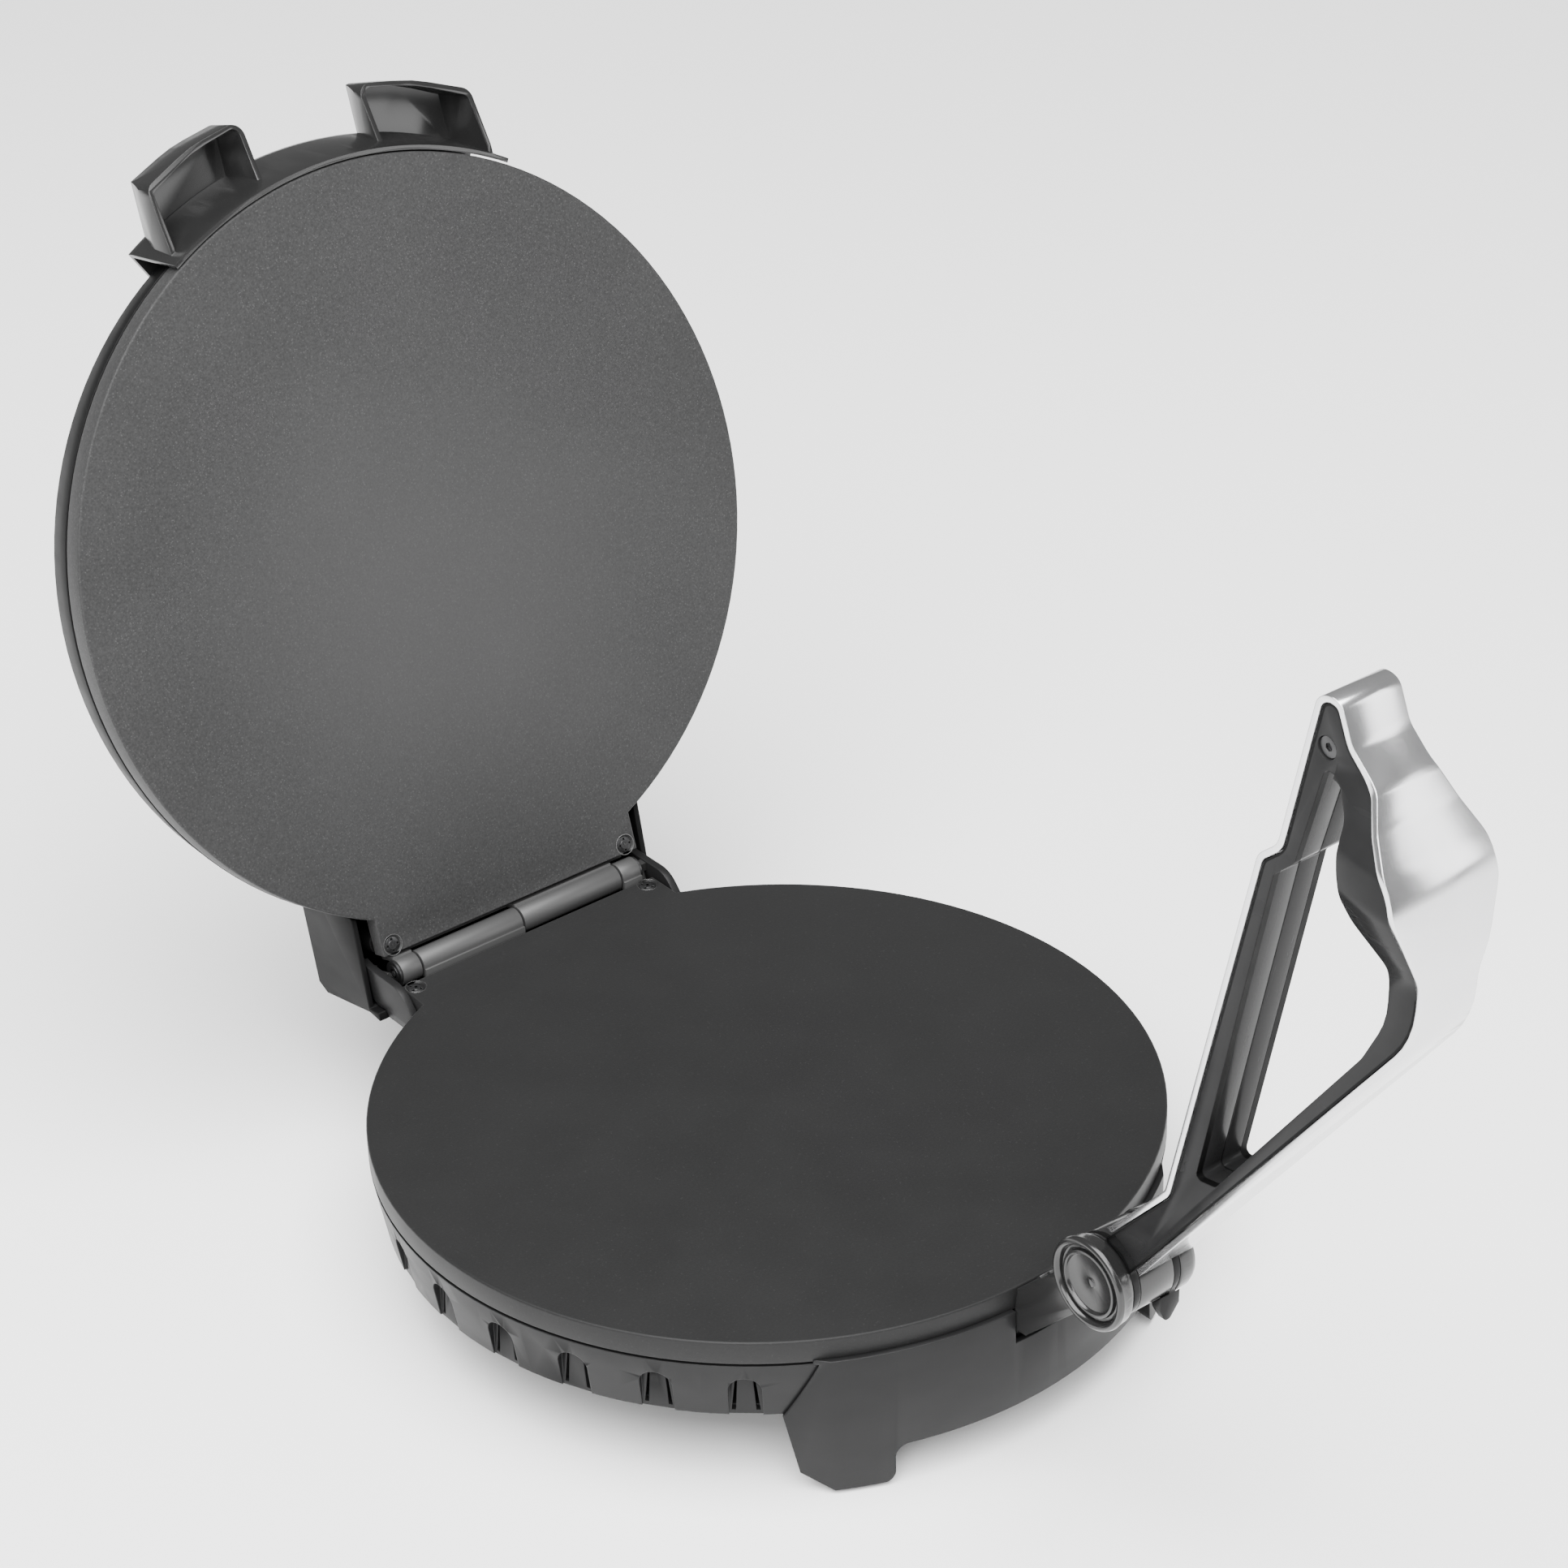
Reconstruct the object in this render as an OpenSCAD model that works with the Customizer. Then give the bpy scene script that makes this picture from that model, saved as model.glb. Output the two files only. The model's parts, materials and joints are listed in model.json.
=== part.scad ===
/* [Plates] */
// Diameter of both cooking plates
plate_d = 300; // [260:1:330]
// Height of a plate's rim
plate_t = 10; // [9:0.5:13]
// Thickness of a plate's cooking web
plate_web = 6; // [4:0.5:7]
// Width of a plate's solid rim
plate_rim_w = 8; // [6:0.5:12]
// Width of the tongue that reaches to the hinge
tongue_w = 124; // [116:1:125]
// Thickness of the tongue over the hinge leaf
tongue_t = 7; // [6:0.5:7.5]
// Gap between the plates when the lid is closed
roti_gap = 1; // [0.5:0.1:3]

/* [Hinge] */
// Distance from the plate's centre line to the hinge axis, beyond the plate's edge
hinge_setback = 10; // [9.5:0.5:14]
// Height of the hinge axis over the lower cooking face
hinge_z = 1.5; // [1:0.1:2.5]
// Angle at which the open lid rests on its stop
lid_open = 106.5; // [95:0.5:108]
// Outer radius of a rolled knuckle
knuckle_r = 5.5; // [5:0.1:6]
// Radius of the hollow hinge pin
hinge_pin_r = 3.5; // [3:0.1:4]
// Radius of the bore through the hinge pin
hinge_pin_bore_r = 2.1; // [1.6:0.1:2.4]
// Radial running clearance of pins in bores
run_fit = 0.05; // [0.01:0.01:0.1]
// Length of a long knuckle
knuckle_len = 48; // [40:0.1:49]
// Length of an end knuckle
end_knuckle_len = 8.8; // [6:0.1:9]
// Thickness of the hinge leaves
leaf_t = 2; // [1.5:0.1:2.5]
// Gap between neighbouring knuckles
knuckle_gap = 1; // [0.3:0.1:1.2]

/* [Base] */
// Height of the cooking face over the table
stand_h = 67; // [60:1:80]
// Height of the tapered base ring
band_h = 24.2; // [20:0.1:26]
// Dark gap between a plate and the ring under it
band_gap = 0.3; // [0.1:0.1:1]
// How far the ring tapers in towards its lower edge
band_taper = 4; // [2:0.5:6]
// Radial wall of the ring at its lower edge
band_wall = 3; // [2:0.5:5]
// Number of arched scoops on each side
scoop_count = 7; // [3:1:8]
// Angle between neighbouring scoops
scoop_pitch = 12.3; // [11:0.1:13]
// Angle from the front to the first scoop
scoop_start = 41.8; // [40:0.1:44]
// Width of a scoop
scoop_w = 12; // [8:0.5:14]
// Height of a scoop
scoop_h = 18; // [10:0.5:19]
// Thickness of the bottom cover
cover_t = 2; // [1.5:0.1:3]
// Height of the rubber feet under the legs
foot_h = 1.5; // [1:0.1:3]

/* [Saddles] */
// How far the saddles stand proud of the plate's edge
saddle_proud = 2.5; // [2:0.1:4]
// Wall thickness of the saddles
saddle_wall = 2.4; // [2:0.1:3]
// Lower edge of the saddle between its legs, below the cooking face
saddle_drop = 50; // [44:1:52]
// Half angle that the saddle covers
saddle_angle = 30.2; // [28:0.1:31]
// How far the saddle's rim overlaps the plate's edge
saddle_lap = 1.6; // [1:0.1:2]
// Width of a leg along the front
leg_w = 20; // [16:0.5:24]
// Depth of a leg at the band
leg_depth = 18.5; // [14:0.5:20]
// Radius of the corners where a leg meets the saddle and the table
leg_fillet = 5; // [2:0.5:6]
// How much further round the right front leg sits
right_leg_turn = 3.8; // [0:0.1:5]
// Width of the right front leg
right_leg_w = 14; // [12:0.5:20]
// Angle between a leg's side face and the YZ plane
leg_side_angle = 38.5; // [34:0.5:42]

/* [Lid] */
// Height of the lid from its cooking face to its back
lid_h = 28; // [26:0.5:32]
// Wall thickness of the mouldings
shell_wall = 2.2; // [1.8:0.1:3]
// Width of the rear hump over the hinge
hump_w = 140; // [139:0.5:144]
// Height of the hump's back over the lid's cooking face
hump_h = 44; // [40:0.5:46]
// Length of the hump in front of the hinge axis
hump_len = 62; // [50:1:80]
// How far the hump's end wall hangs behind the hinge axis
tail_s = 16.4; // [15.5:0.1:18]

/* [Lid grip] */
// Half angle that the grip's lip covers
grip_angle = 30; // [28:0.5:34]
// Outer radius of the grip's lip over the plate's edge
lip_proud = 2.4; // [1.8:0.1:4]
// How far the lugs reach beyond the plate's edge
lug_reach = 26.5; // [20:0.5:32]
// Distance from the middle to a lug's inner side
lug_in = 26.5; // [24:0.5:30]
// Distance from the middle to a lug's outer side
lug_out = 73.5; // [60:0.5:76]
// Height of the lug's rim over the lid's cooking face
lug_rim_h = 18; // [10:0.2:20]
// Draft of a lug's sides
lug_draft = 16; // [0:1:20]
// Wall thickness of the lugs
lug_wall = 2; // [1.5:0.1:3]

/* [Lever] */
// Distance of the lever's pivot in front of the plate's edge
pivot_out = 48; // [46:0.5:54]
// Height of the pivot over the cooking face
pivot_z = 34; // [33:0.5:38]
// Swing of the lever from its rest to the closed lid
lever_swing = 109; // [90:0.5:109]
// Width of the lever
lever_w = 24; // [23:0.5:28]
// Width of the lever at its palm flare
flare_w = 44.6; // [30:0.2:50]
// Thickness of the lever's bright shell
band_shell_t = 2.2; // [1.6:0.1:2.6]
// Groove between the shell and the inlay
inlay_gap = 0.5; // [0.2:0.1:0.9]
// How far the inlay lies below the shell's edge
inlay_sink = 0.6; // [0.2:0.1:1]
// Radius of the pivot hub
hub_r = 15.4; // [13:0.2:16]
// Radius of the left end cap
cap_r = 17.6; // [15:0.2:18]
// Radius of the right end cap
end_cap_r = 15.8; // [14:0.2:17]
// How far a cap stands out from the lever's side
cap_h = 7; // [5:0.5:10]
// Width of the neck arm
neck_w = 19; // [17:0.5:19.4]
// Thickness of the neck arm
neck_t = 15.8; // [13:0.2:16]
// Radius of the pivot pin
pivot_pin_r = 4; // [3:0.1:4.5]
// Radius of the pin that limits the swing
limit_pin_r = 1.5; // [1:0.1:1.8]

/* [Heating] */
// Radius of the heating ring
heater_ring_r = 95; // [70:1:104]
// Radius of the heater's tube
heater_tube_r = 3.5; // [2.5:0.1:3.8]
// Radius of the heat shield
shield_r = 126; // [115:1:128]
// Depth of the heat shield under the cooking face
shield_z = 18.6; // [17:0.1:20]
// Radius of the lead wires
wire_r = 1.2; // [0.8:0.1:1.4]

/* [Screws] */
// Thread radius of the larger screws
screw_r = 2; // [1.5:0.1:2.2]
// Head radius of the larger screws
screw_head_r = 3.75; // [3:0.05:4]
// Height of a countersunk head
screw_head_h = 2.2; // [1.5:0.1:2.4]

/* [Hidden] */

// Facets of round parts; true curves do not depend on it
$fn = 96;

// Small overlap for clean cuts
eps = 0.01;
// Longer than anything here, for cuts that run right through
far = 260;
// Gap that soft or loose seats keep
seat = 0.2;

plate_r = plate_d / 2;
hinge_y = plate_r + hinge_setback;
tongue_end = hinge_y - knuckle_r - 2.5;
leaf_front = tongue_end - 14;
leaf_back = tongue_end + 3.6;
leaf_top = -tongue_t - seat;
web_t = 2;
end_knuckle_x0 = knuckle_gap / 2 + knuckle_len + knuckle_gap;
end_knuckle_x1 = end_knuckle_x0 + end_knuckle_len;
hinge_pin_half = end_knuckle_x1 + 1.6;
tongue_screw_x = tongue_w / 2 - 5;
tongue_screw_y = tongue_end - 3.4;
band_top = -plate_t - band_gap;
band_bottom = band_top - band_h;
band_in_r = plate_r - band_taper - band_wall;
cover_top = band_bottom + cover_t + seat;
saddle_r = plate_r + saddle_proud;
saddle_back = plate_r - 38;
function leg_at(turn) = polar(saddle_r, 270 - saddle_angle - turn);
leg_corner = leg_at(0);
right_corner = leg_at(right_leg_turn);
table_z = -stand_h;
leg_bottom = table_z + foot_h;
boss_r = 5;
boss_ring_r = band_in_r - plate_rim_w - 1;
saddle_screw_angle = 17.4;
cover_screw_angles = [15, 165, 195, 345];
saddle_screw_angles = [270 - saddle_screw_angle, 270 + saddle_screw_angle,
                       90 - saddle_screw_angle, 90 + saddle_screw_angle];
cheek_in = max(tongue_w / 2 + 1.2, hinge_pin_half + 3.1 * wire_r);
cheek_t = 3.2;
wire_lane = (hinge_pin_half + cheek_in) / 2;
heater_end = 110;
lead_r = shield_r - 9;
terminal_y = band_in_r - 51;
cheek_out = cheek_in + cheek_t;
cheek_r = 12.4;
ledge_w = 110;
cord_box_w = 60;
cord_z = -34;
cord_y = hinge_y + 25;
lead_z = cover_top + 5;
pivot_y = -(plate_r + pivot_out);
pivot_wall = 2.8;
eye_w = 15;
cheek_gap = 0.3;
cheek_x0 = eye_w / 2 + cheek_gap;
cheek_x1 = cheek_x0 + pivot_wall;
recess_r = cap_r + 4;
limit_r = 10;
limit_angle = 200;
neck_angle = -44.2;
neck_foot_z = -22;
neck_screw_x = 6;
neck_screw_y = -band_in_r + 6;
shield_t = 0.8;

colour_plate = [0.22, 0.22, 0.23];
colour_upper = [0.38, 0.38, 0.38];
colour_body = [0.30, 0.30, 0.31];
colour_gloss = [0.06, 0.06, 0.065];
colour_inlay = [0.27, 0.27, 0.28];
colour_silver = [0.86, 0.87, 0.88];
colour_steel = [0.62, 0.62, 0.64];
colour_rubber = [0.10, 0.10, 0.10];
colour_ceramic = [0.88, 0.86, 0.80];

// Outline helpers: a corner is [x, y, radius]
function unit(v) = v / norm(v);
function flat(c) = [c.x, c.y];
function cross2(a, b) = a.x * b.y - a.y * b.x;
function left(v) = [-v.y, v.x];

// Points of one corner, turned into an arc that touches both sides
function corner(p, c, n) =
    let (a = unit(flat(p) - flat(c)), b = unit(flat(n) - flat(c)),
         half = acos(max(-1, min(1, a * b))) / 2,
         centre = flat(c) + unit(a + b) * c[2] / sin(half),
         start = flat(c) + a * c[2] / tan(half) - centre,
         turn = (cross2(b, a) > 0 ? 1 : -1) * (180 - 2 * half),
         steps = max(2, ceil(abs(turn) / 9)),
         from = atan2(start.y, start.x))
    c[2] <= 0 ? [flat(c)]
              : [for (i = [0:steps]) centre + c[2] * [cos(from + turn * i / steps), sin(from + turn * i / steps)]];

// Closed outline with every corner rounded by its own radius
function rounded(pts) =
    let (n = len(pts))
    [for (i = [0:n - 1]) each corner(pts[(i + n - 1) % n], pts[i], pts[(i + 1) % n])];

// The same outline moved inwards by d, for an outline that runs anticlockwise
function inset(pts, d) =
    let (n = len(pts))
    [for (i = [0:n - 1])
        let (p = flat(pts[(i + n - 1) % n]), c = flat(pts[i]), q = flat(pts[(i + 1) % n]),
             u = unit(c - p), v = unit(q - c),
             at = c + d * (left(u) + left(v)) / (1 + left(u) * left(v)),
             r = pts[i][2] <= 0 ? 0 : max(0.2, pts[i][2] - sign(cross2(u, v)) * d))
        [at.x, at.y, r]];

function polar(r, a) = r * [cos(a), sin(a)];

// Frames: shapes drawn in the YZ plane and extruded along X
module side(x0, x1) {
    translate([x0, 0, 0]) rotate([90, 0, 90]) linear_extrude(x1 - x0) children();
}
module on_pivot(x0) {
    translate([x0, pivot_y, pivot_z]) rotate([90, 0, 90]) children();
}
module on_hinge(x0) {
    translate([x0, hinge_y, hinge_z]) rotate([90, 0, 90]) children();
}
module tube(r_out, r_in, h) {
    difference() {
        cylinder(r = r_out, h = h);
        translate([0, 0, -1]) cylinder(r = r_in, h = h + 2);
    }
}
module both_sides() {
    children();
    mirror([1, 0, 0]) children();
}
// Lid pieces are drawn on the closed lid and swung open about the hinge
module lid_pose() {
    translate([0, hinge_y, hinge_z]) rotate([-lid_open, 0, 0])
        translate([0, -hinge_y, -hinge_z]) children();
}
// Lid pieces that repeat base pieces are the same pieces turned over
module turned_over() {
    lid_pose() translate([0, 0, roti_gap]) mirror([0, 0, 1]) children();
}
module wire(points) {
    last = len(points) - 2;
    for (i = [0:last]) {
        let (p = points[i], d = points[i + 1] - p, l = norm(d),
             near = i > 0 ? 1.05 * wire_r : 0, far = i < last ? 1.05 * wire_r : 0)
        translate(p + d * near / l) rotate([0, acos(d.z / l), atan2(d.y, d.x)])
            cylinder(r = wire_r, h = l - near - far, $fn = 16);
    }
    for (i = [1:last]) translate(points[i]) cube(3 * wire_r, center = true);
}

// Cooking plates
module plate_profile() {
    polygon([[0, 0], [plate_r - 0.5, 0], [plate_r, -0.5], [plate_r, -plate_t + 1], [plate_r - 1, -plate_t],
             [plate_r - plate_rim_w, -plate_t], [plate_r - plate_rim_w, -plate_web], [0, -plate_web]]);
}
module countersink(x, y) {
    translate([x, y, -tongue_t - 1]) cylinder(r = screw_r + 0.3, h = tongue_t + 2);
    translate([x, y, -screw_head_h])
        cylinder(r1 = screw_r + 0.3, r2 = screw_head_r + 0.3, h = screw_head_h + eps);
}
module plate() {
    difference() {
        union() {
            rotate_extrude($fn = 180) plate_profile();
            translate([-tongue_w / 2, leaf_front - 4, -tongue_t])
                cube([tongue_w, tongue_end - leaf_front + 4, tongue_t]);
        }
        translate([-tongue_w / 2 - 1, leaf_front - 1, -plate_t - 1])
            cube([tongue_w + 2, tongue_end - leaf_front + 2, plate_t + 1 - tongue_t]);
        both_sides() countersink(tongue_screw_x, tongue_screw_y);
    }
}
module lower_plate() {
    color(colour_plate) plate();
}
module upper_plate() {
    color(colour_upper) turned_over() plate();
}

// Hinge leaves: a flat leaf under the tongue and two rolled knuckles
module knuckle(x0, len, axis_z) {
    translate([x0, hinge_y, axis_z]) rotate([0, 90, 0]) cylinder(r = knuckle_r, h = len);
    translate([x0, leaf_back - web_t, leaf_top - leaf_t]) cube([len, web_t, axis_z - leaf_top + leaf_t]);
}
module hinge_leaf(m, axis_z) {
    mirror([m, 0, 0]) difference() {
        union() {
            translate([-tongue_w / 2 + 3.6, leaf_front, leaf_top - leaf_t])
                cube([tongue_w - 7.2, leaf_back - leaf_front, leaf_t]);
            knuckle(-knuckle_gap / 2 - knuckle_len, knuckle_len, axis_z);
            knuckle(end_knuckle_x0, end_knuckle_len, axis_z);
        }
        translate([-tongue_w, hinge_y, axis_z]) rotate([0, 90, 0])
            cylinder(r = hinge_pin_r + run_fit, h = 2 * tongue_w);
        both_sides() translate([tongue_screw_x, tongue_screw_y, leaf_top - leaf_t - 1])
            cylinder(r = screw_r + 0.1, h = leaf_t + 2);
    }
}
module base_hinge_leaf() {
    color(colour_body) hinge_leaf(0, hinge_z);
}
module lid_hinge_leaf() {
    color(colour_body) turned_over() hinge_leaf(1, roti_gap - hinge_z);
}
module hinge_pin() {
    color(colour_steel) difference() {
        on_hinge(-hinge_pin_half) cylinder(r = hinge_pin_r, h = 2 * hinge_pin_half);
        on_hinge(-hinge_pin_half - 1) cylinder(r = hinge_pin_bore_r, h = 2 * hinge_pin_half + 2);
    }
}
module hinge_clips() {
    color(colour_steel) both_sides() on_hinge(end_knuckle_x1 + cheek_gap)
        tube(hinge_pin_r + 1.6, hinge_pin_r, 0.9);
}

// Base housing: tapered ring with scoops, bosses and passages
module band_cone(extra) {
    rotate_extrude($fn = 180) polygon([
        [0, band_top], [plate_r + extra, band_top],
        [plate_r - band_taper + extra, band_bottom], [0, band_bottom]]);
}
module scoop() {
    top = band_bottom + scoop_h - scoop_w / 2;
    floor_r = plate_r - band_taper - 0.8;
    translate([floor_r, 0, 0]) rotate([90, 0, 90]) linear_extrude(20) union() {
        translate([-scoop_w / 2, band_bottom - 1]) square([scoop_w, top - band_bottom + 1]);
        translate([0, top]) circle(d = scoop_w);
    }
}
module base_housing() {
    color(colour_body) difference() {
        union() {
            difference() {
                band_cone(0);
                translate([0, 0, band_bottom - 1]) cylinder(r = band_in_r, h = band_h + 2);
                for (i = [0:scoop_count - 1]) {
                    rotate([0, 0, 270 + scoop_start + i * scoop_pitch]) scoop();
                    rotate([0, 0, 270 - scoop_start - i * scoop_pitch]) scoop();
                }
            }
            for (a = concat(cover_screw_angles, saddle_screw_angles)) rotate([0, 0, a]) {
                translate([boss_ring_r, 0, cover_top]) cylinder(r = boss_r, h = -plate_web - cover_top);
                translate([boss_ring_r, -1.5, cover_top]) cube([band_in_r - boss_ring_r + 1, 3, 12]);
            }
            translate([-neck_w / 2 - 3, -band_in_r - 1, neck_foot_z - 2.4]) cube([neck_w + 6, 16, 2.2]);
        }
        for (a = concat(cover_screw_angles, saddle_screw_angles)) rotate([0, 0, a])
            translate([boss_ring_r, 0, cover_top - 1]) cylinder(r = screw_r, h = -plate_web - cover_top);
        translate([-neck_w / 2 - cheek_gap, -plate_r - 5, neck_foot_z - cheek_gap])
            cube([neck_w + 2 * cheek_gap, 16, 40]);
        both_sides() translate([neck_screw_x, neck_screw_y, neck_foot_z - 5]) cylinder(r = screw_r, h = 10);
        lead_passages();
        translate([-tongue_w / 2 - 1, leaf_front - 1, leaf_top - leaf_t - cheek_gap])
            cube([tongue_w + 2, 30, 20]);
    }
}

// Saddles: curved wall, tray floor and two wedge legs, trimmed in a frame that starts at a leg's front corner
module leg_trim(at) {
    translate([at.x, at.y, 0]) rotate([0, 0, leg_side_angle]) {
        translate([-far, -far / 2, table_z - 1]) cube([far, far, far]);
        rotate([90, 0, 90]) translate([0, 0, -1]) linear_extrude(far) polygon([
            [0, leg_bottom], [leg_depth - 6, leg_bottom + 6.2], [leg_depth, band_bottom + 1],
            [far / 2, band_bottom + 1], [far / 2, table_z - 20], [0, table_z - 20]]);
    }
}
module saddle(top, right_at = leg_corner, right_w = leg_w) {
    left_inner = leg_corner.x + leg_w;
    right_inner = -right_at.x - right_w;
    difference() {
        translate([0, 0, leg_bottom]) cylinder(r = saddle_r, h = top - leg_bottom, $fn = 180);
        translate([-far, -saddle_back, -far / 2]) cube([2 * far, 2 * far, far]);
        leg_arch(left_inner, right_inner);
        leg_trim(leg_corner);
        mirror([1, 0, 0]) leg_trim(right_at);
        band_cone(0.9);
        translate([0, 0, band_top - 1]) cylinder(r = plate_r + 0.2, h = 40, $fn = 180);
        translate([0, 0, saddle_wall - saddle_drop]) saddle_hollow(left_inner - 4, right_inner + 4);
    }
}
// Arch between the legs, with the legs' inner corners rounded
module leg_arch(x0, x1) {
    foot = leg_bottom - 0.4;
    translate([0, 1, 0]) rotate([90, 0, 0]) linear_extrude(far) polygon(rounded([
        [x0, -saddle_drop, leg_fillet], [x0, foot, leg_fillet], [x0 - leg_w, foot, 0],
            [x0 - leg_w, foot - 20, 0],
        [x1 + leg_w, foot - 20, 0], [x1 + leg_w, foot, 0], [x1, foot, leg_fillet],
            [x1, -saddle_drop, leg_fillet]]));
}
module saddle_hollow(x0, x1) {
    intersection() {
        cylinder(r = saddle_r - saddle_wall, h = 60, $fn = 180);
        translate([x0, -far, -1]) cube([x1 - x0, far - saddle_back - saddle_wall, 62]);
    }
}
module saddle_post(a) {
    rotate([0, 0, a]) difference() {
        translate([boss_ring_r, 0, -saddle_drop + 1])
            cylinder(r = boss_r, h = saddle_drop + band_bottom - 1 - seat);
        translate([boss_ring_r, 0, -saddle_drop - 1]) cylinder(r = screw_r + 0.2, h = 60);
    }
}
module saddle_screw_cuts() {
    for (a = [270 - saddle_screw_angle, 270 + saddle_screw_angle]) rotate([0, 0, a]) {
        translate([boss_ring_r, 0, -saddle_drop - 1]) cylinder(r = screw_r + 0.2, h = 60);
        translate([boss_ring_r, 0, -saddle_drop - 1])
            cylinder(r = screw_head_r + 0.3, h = screw_head_h + 1.4);
    }
}
module front_saddle() {
    color(colour_body) difference() {
        union() {
            saddle(band_top + saddle_lap + band_gap, right_corner, right_leg_w);
            saddle_post(270 - saddle_screw_angle);
            saddle_post(270 + saddle_screw_angle);
        }
        saddle_screw_cuts();
        translate([-neck_w / 2 - cheek_gap, -saddle_r - 2, neck_foot_z - cheek_gap])
            cube([neck_w + 2 * cheek_gap, 10, 40]);
    }
}
module rear_saddle() {
    color(colour_body) difference() {
        union() {
            difference() {
                mirror([0, 1, 0]) union() {
                    saddle(band_top);
                    saddle_post(270 - saddle_screw_angle);
                    saddle_post(270 + saddle_screw_angle);
                }
                translate([-tongue_w / 2 - 1, leaf_front - 1, leaf_top - leaf_t - cheek_gap])
                    cube([tongue_w + 2, 30, 20]);
            }
            hinge_block();
            both_sides() hinge_cheek();
        }
        mirror([0, 1, 0]) saddle_screw_cuts();
        both_sides() translate([tongue_screw_x, tongue_screw_y, -30]) cylinder(r = screw_r, h = 30);
        lead_passages();
        translate([0, hinge_y, cord_z]) rotate([-90, 0, 0]) cylinder(r = 4.2, h = 60, center = true);
    }
}
module behind_plate() {
    difference() {
        children();
        translate([0, 0, -1]) cylinder(r = plate_r + 0.3, h = 30);
    }
}
// The block behind the ring carries the leaf, the lid's ledge and the cord box
module hinge_block() {
    block_top = leaf_top - leaf_t - seat;
    half = cheek_in - 5.2;
    translate([0, 0, block_top - 11]) behind_plate() translate([-half, saddle_back, 0])
        cube([2 * half, leaf_back - saddle_back, 11]);
    translate([0, 0, -13]) behind_plate() translate([-cheek_out, saddle_back + 8, 0])
        cube([2 * cheek_out, tongue_end - saddle_back - 8, block_top + 13]);
    side(-ledge_w / 2, ledge_w / 2) polygon([
        [leaf_back - 4, -20], [leaf_back - 4, -16.2],
            ledge_point(3), ledge_point(24), ledge_point(24) - [0, 4],
        [leaf_back - 4, -25]]);
    side(-cord_box_w / 2, cord_box_w / 2) polygon([
        [saddle_r - 4, -saddle_drop + 4], [saddle_r - 4, -20], [leaf_back, -20],
        [cord_y, ledge_point(22).y - 2], [cord_y, cord_z - 8], [cord_y - 5, -saddle_drop + 4]]);
}
// Top of the ledge, just under the open lid's end wall
function tail_line(h) = let (s = -tail_s + 2.8 + (h - 8) * 2.8 / 32) [s, h];
function swung(s, h) =
    let (dy = -s, dz = roti_gap + h - hinge_z)
    [hinge_y + dy * cos(lid_open) + dz * sin(lid_open), hinge_z - dy * sin(lid_open) + dz * cos(lid_open)];
function ledge_point(h) = let (p = tail_line(8 + h)) swung(p.x, p.y) - [0, cheek_gap];
cheek_top = hinge_z + 2.4;
module hinge_cheek() {
    side(cheek_in, cheek_out) difference() {
        polygon(concat(
            [[hinge_y - 22.8, -13], [hinge_y - 6, -13]],
            [for (a = [256:8:376]) [hinge_y, hinge_z] + polar(cheek_r, a)],
            [[hinge_y + 8, cheek_top]],
            corner([hinge_y + 8, cheek_top], [hinge_y - 14, cheek_top, 12], [hinge_y - 22.8, -6]),
            [[hinge_y - 22.8, -6]]));
    }
}
module bottom_cover() {
    color(colour_body) difference() {
        translate([0, 0, band_bottom + seat]) cylinder(r = band_in_r - 0.3, h = cover_t);
        for (a = cover_screw_angles) rotate([0, 0, a]) translate([boss_ring_r, 0, band_bottom - 1]) {
            cylinder(r = screw_r + 0.2, h = 10);
            cylinder(r = screw_head_r + 0.3, h = 1 + seat + cover_t / 2);
        }
        for (a = saddle_screw_angles) rotate([0, 0, a]) translate([boss_ring_r, 0, band_bottom - 1])
            cylinder(r = screw_r + 0.2, h = 10);
        for (i = [-4:4]) translate([i * 9 - 2, -30, band_bottom - 1]) cube([4, 60, 10]);
    }
}
module foot(at, w) {
    intersection() {
        translate([at.x, at.y, 0]) rotate([0, 0, leg_side_angle]) translate([2.5, -60, table_z])
            cube([14, 60, foot_h]);
        cylinder(r = saddle_r - 2.5, h = 400, center = true);
        translate([at.x + 2, -200, table_z]) cube([w - leg_fillet - 2, 400, 10]);
    }
}
module rubber_feet() {
    color(colour_rubber) {
        foot(leg_corner, leg_w);
        mirror([1, 0, 0]) foot(right_corner, right_leg_w);
        mirror([0, 1, 0]) both_sides() foot(leg_corner, leg_w);
    }
}

// Heating parts, drawn for the lower plate
module heater() {
    z = -plate_web - heater_tube_r - seat;
    rotate([0, 0, heater_end]) rotate_extrude(angle = 360 - 2 * (heater_end - 90))
        translate([heater_ring_r, z]) circle(r = heater_tube_r, $fn = 32);
    both_sides() rotate([0, 0, heater_end]) translate([heater_ring_r, 0, z]) rotate([0, 90, 0]) {
        translate([0, 0, -heater_tube_r - 1]) cylinder(r = heater_tube_r + 0.15, h = lead_r - heater_ring_r);
        cylinder(r = 1.4, h = lead_r + 2 - heater_ring_r);
    }
}
module heater_clamps() {
    low = -plate_web - 2 * heater_tube_r - 2 * seat;
    for (a = [30, 150, 270]) rotate([0, 0, a]) {
        translate([heater_ring_r - 14, -6, low - 1.5]) cube([28, 12, 1.5]);
        for (d = [-10, 10]) translate([heater_ring_r + d, 0, low - 0.1])
            cylinder(r = 2.5, h = -plate_web - low + 0.1);
    }
}
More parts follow.
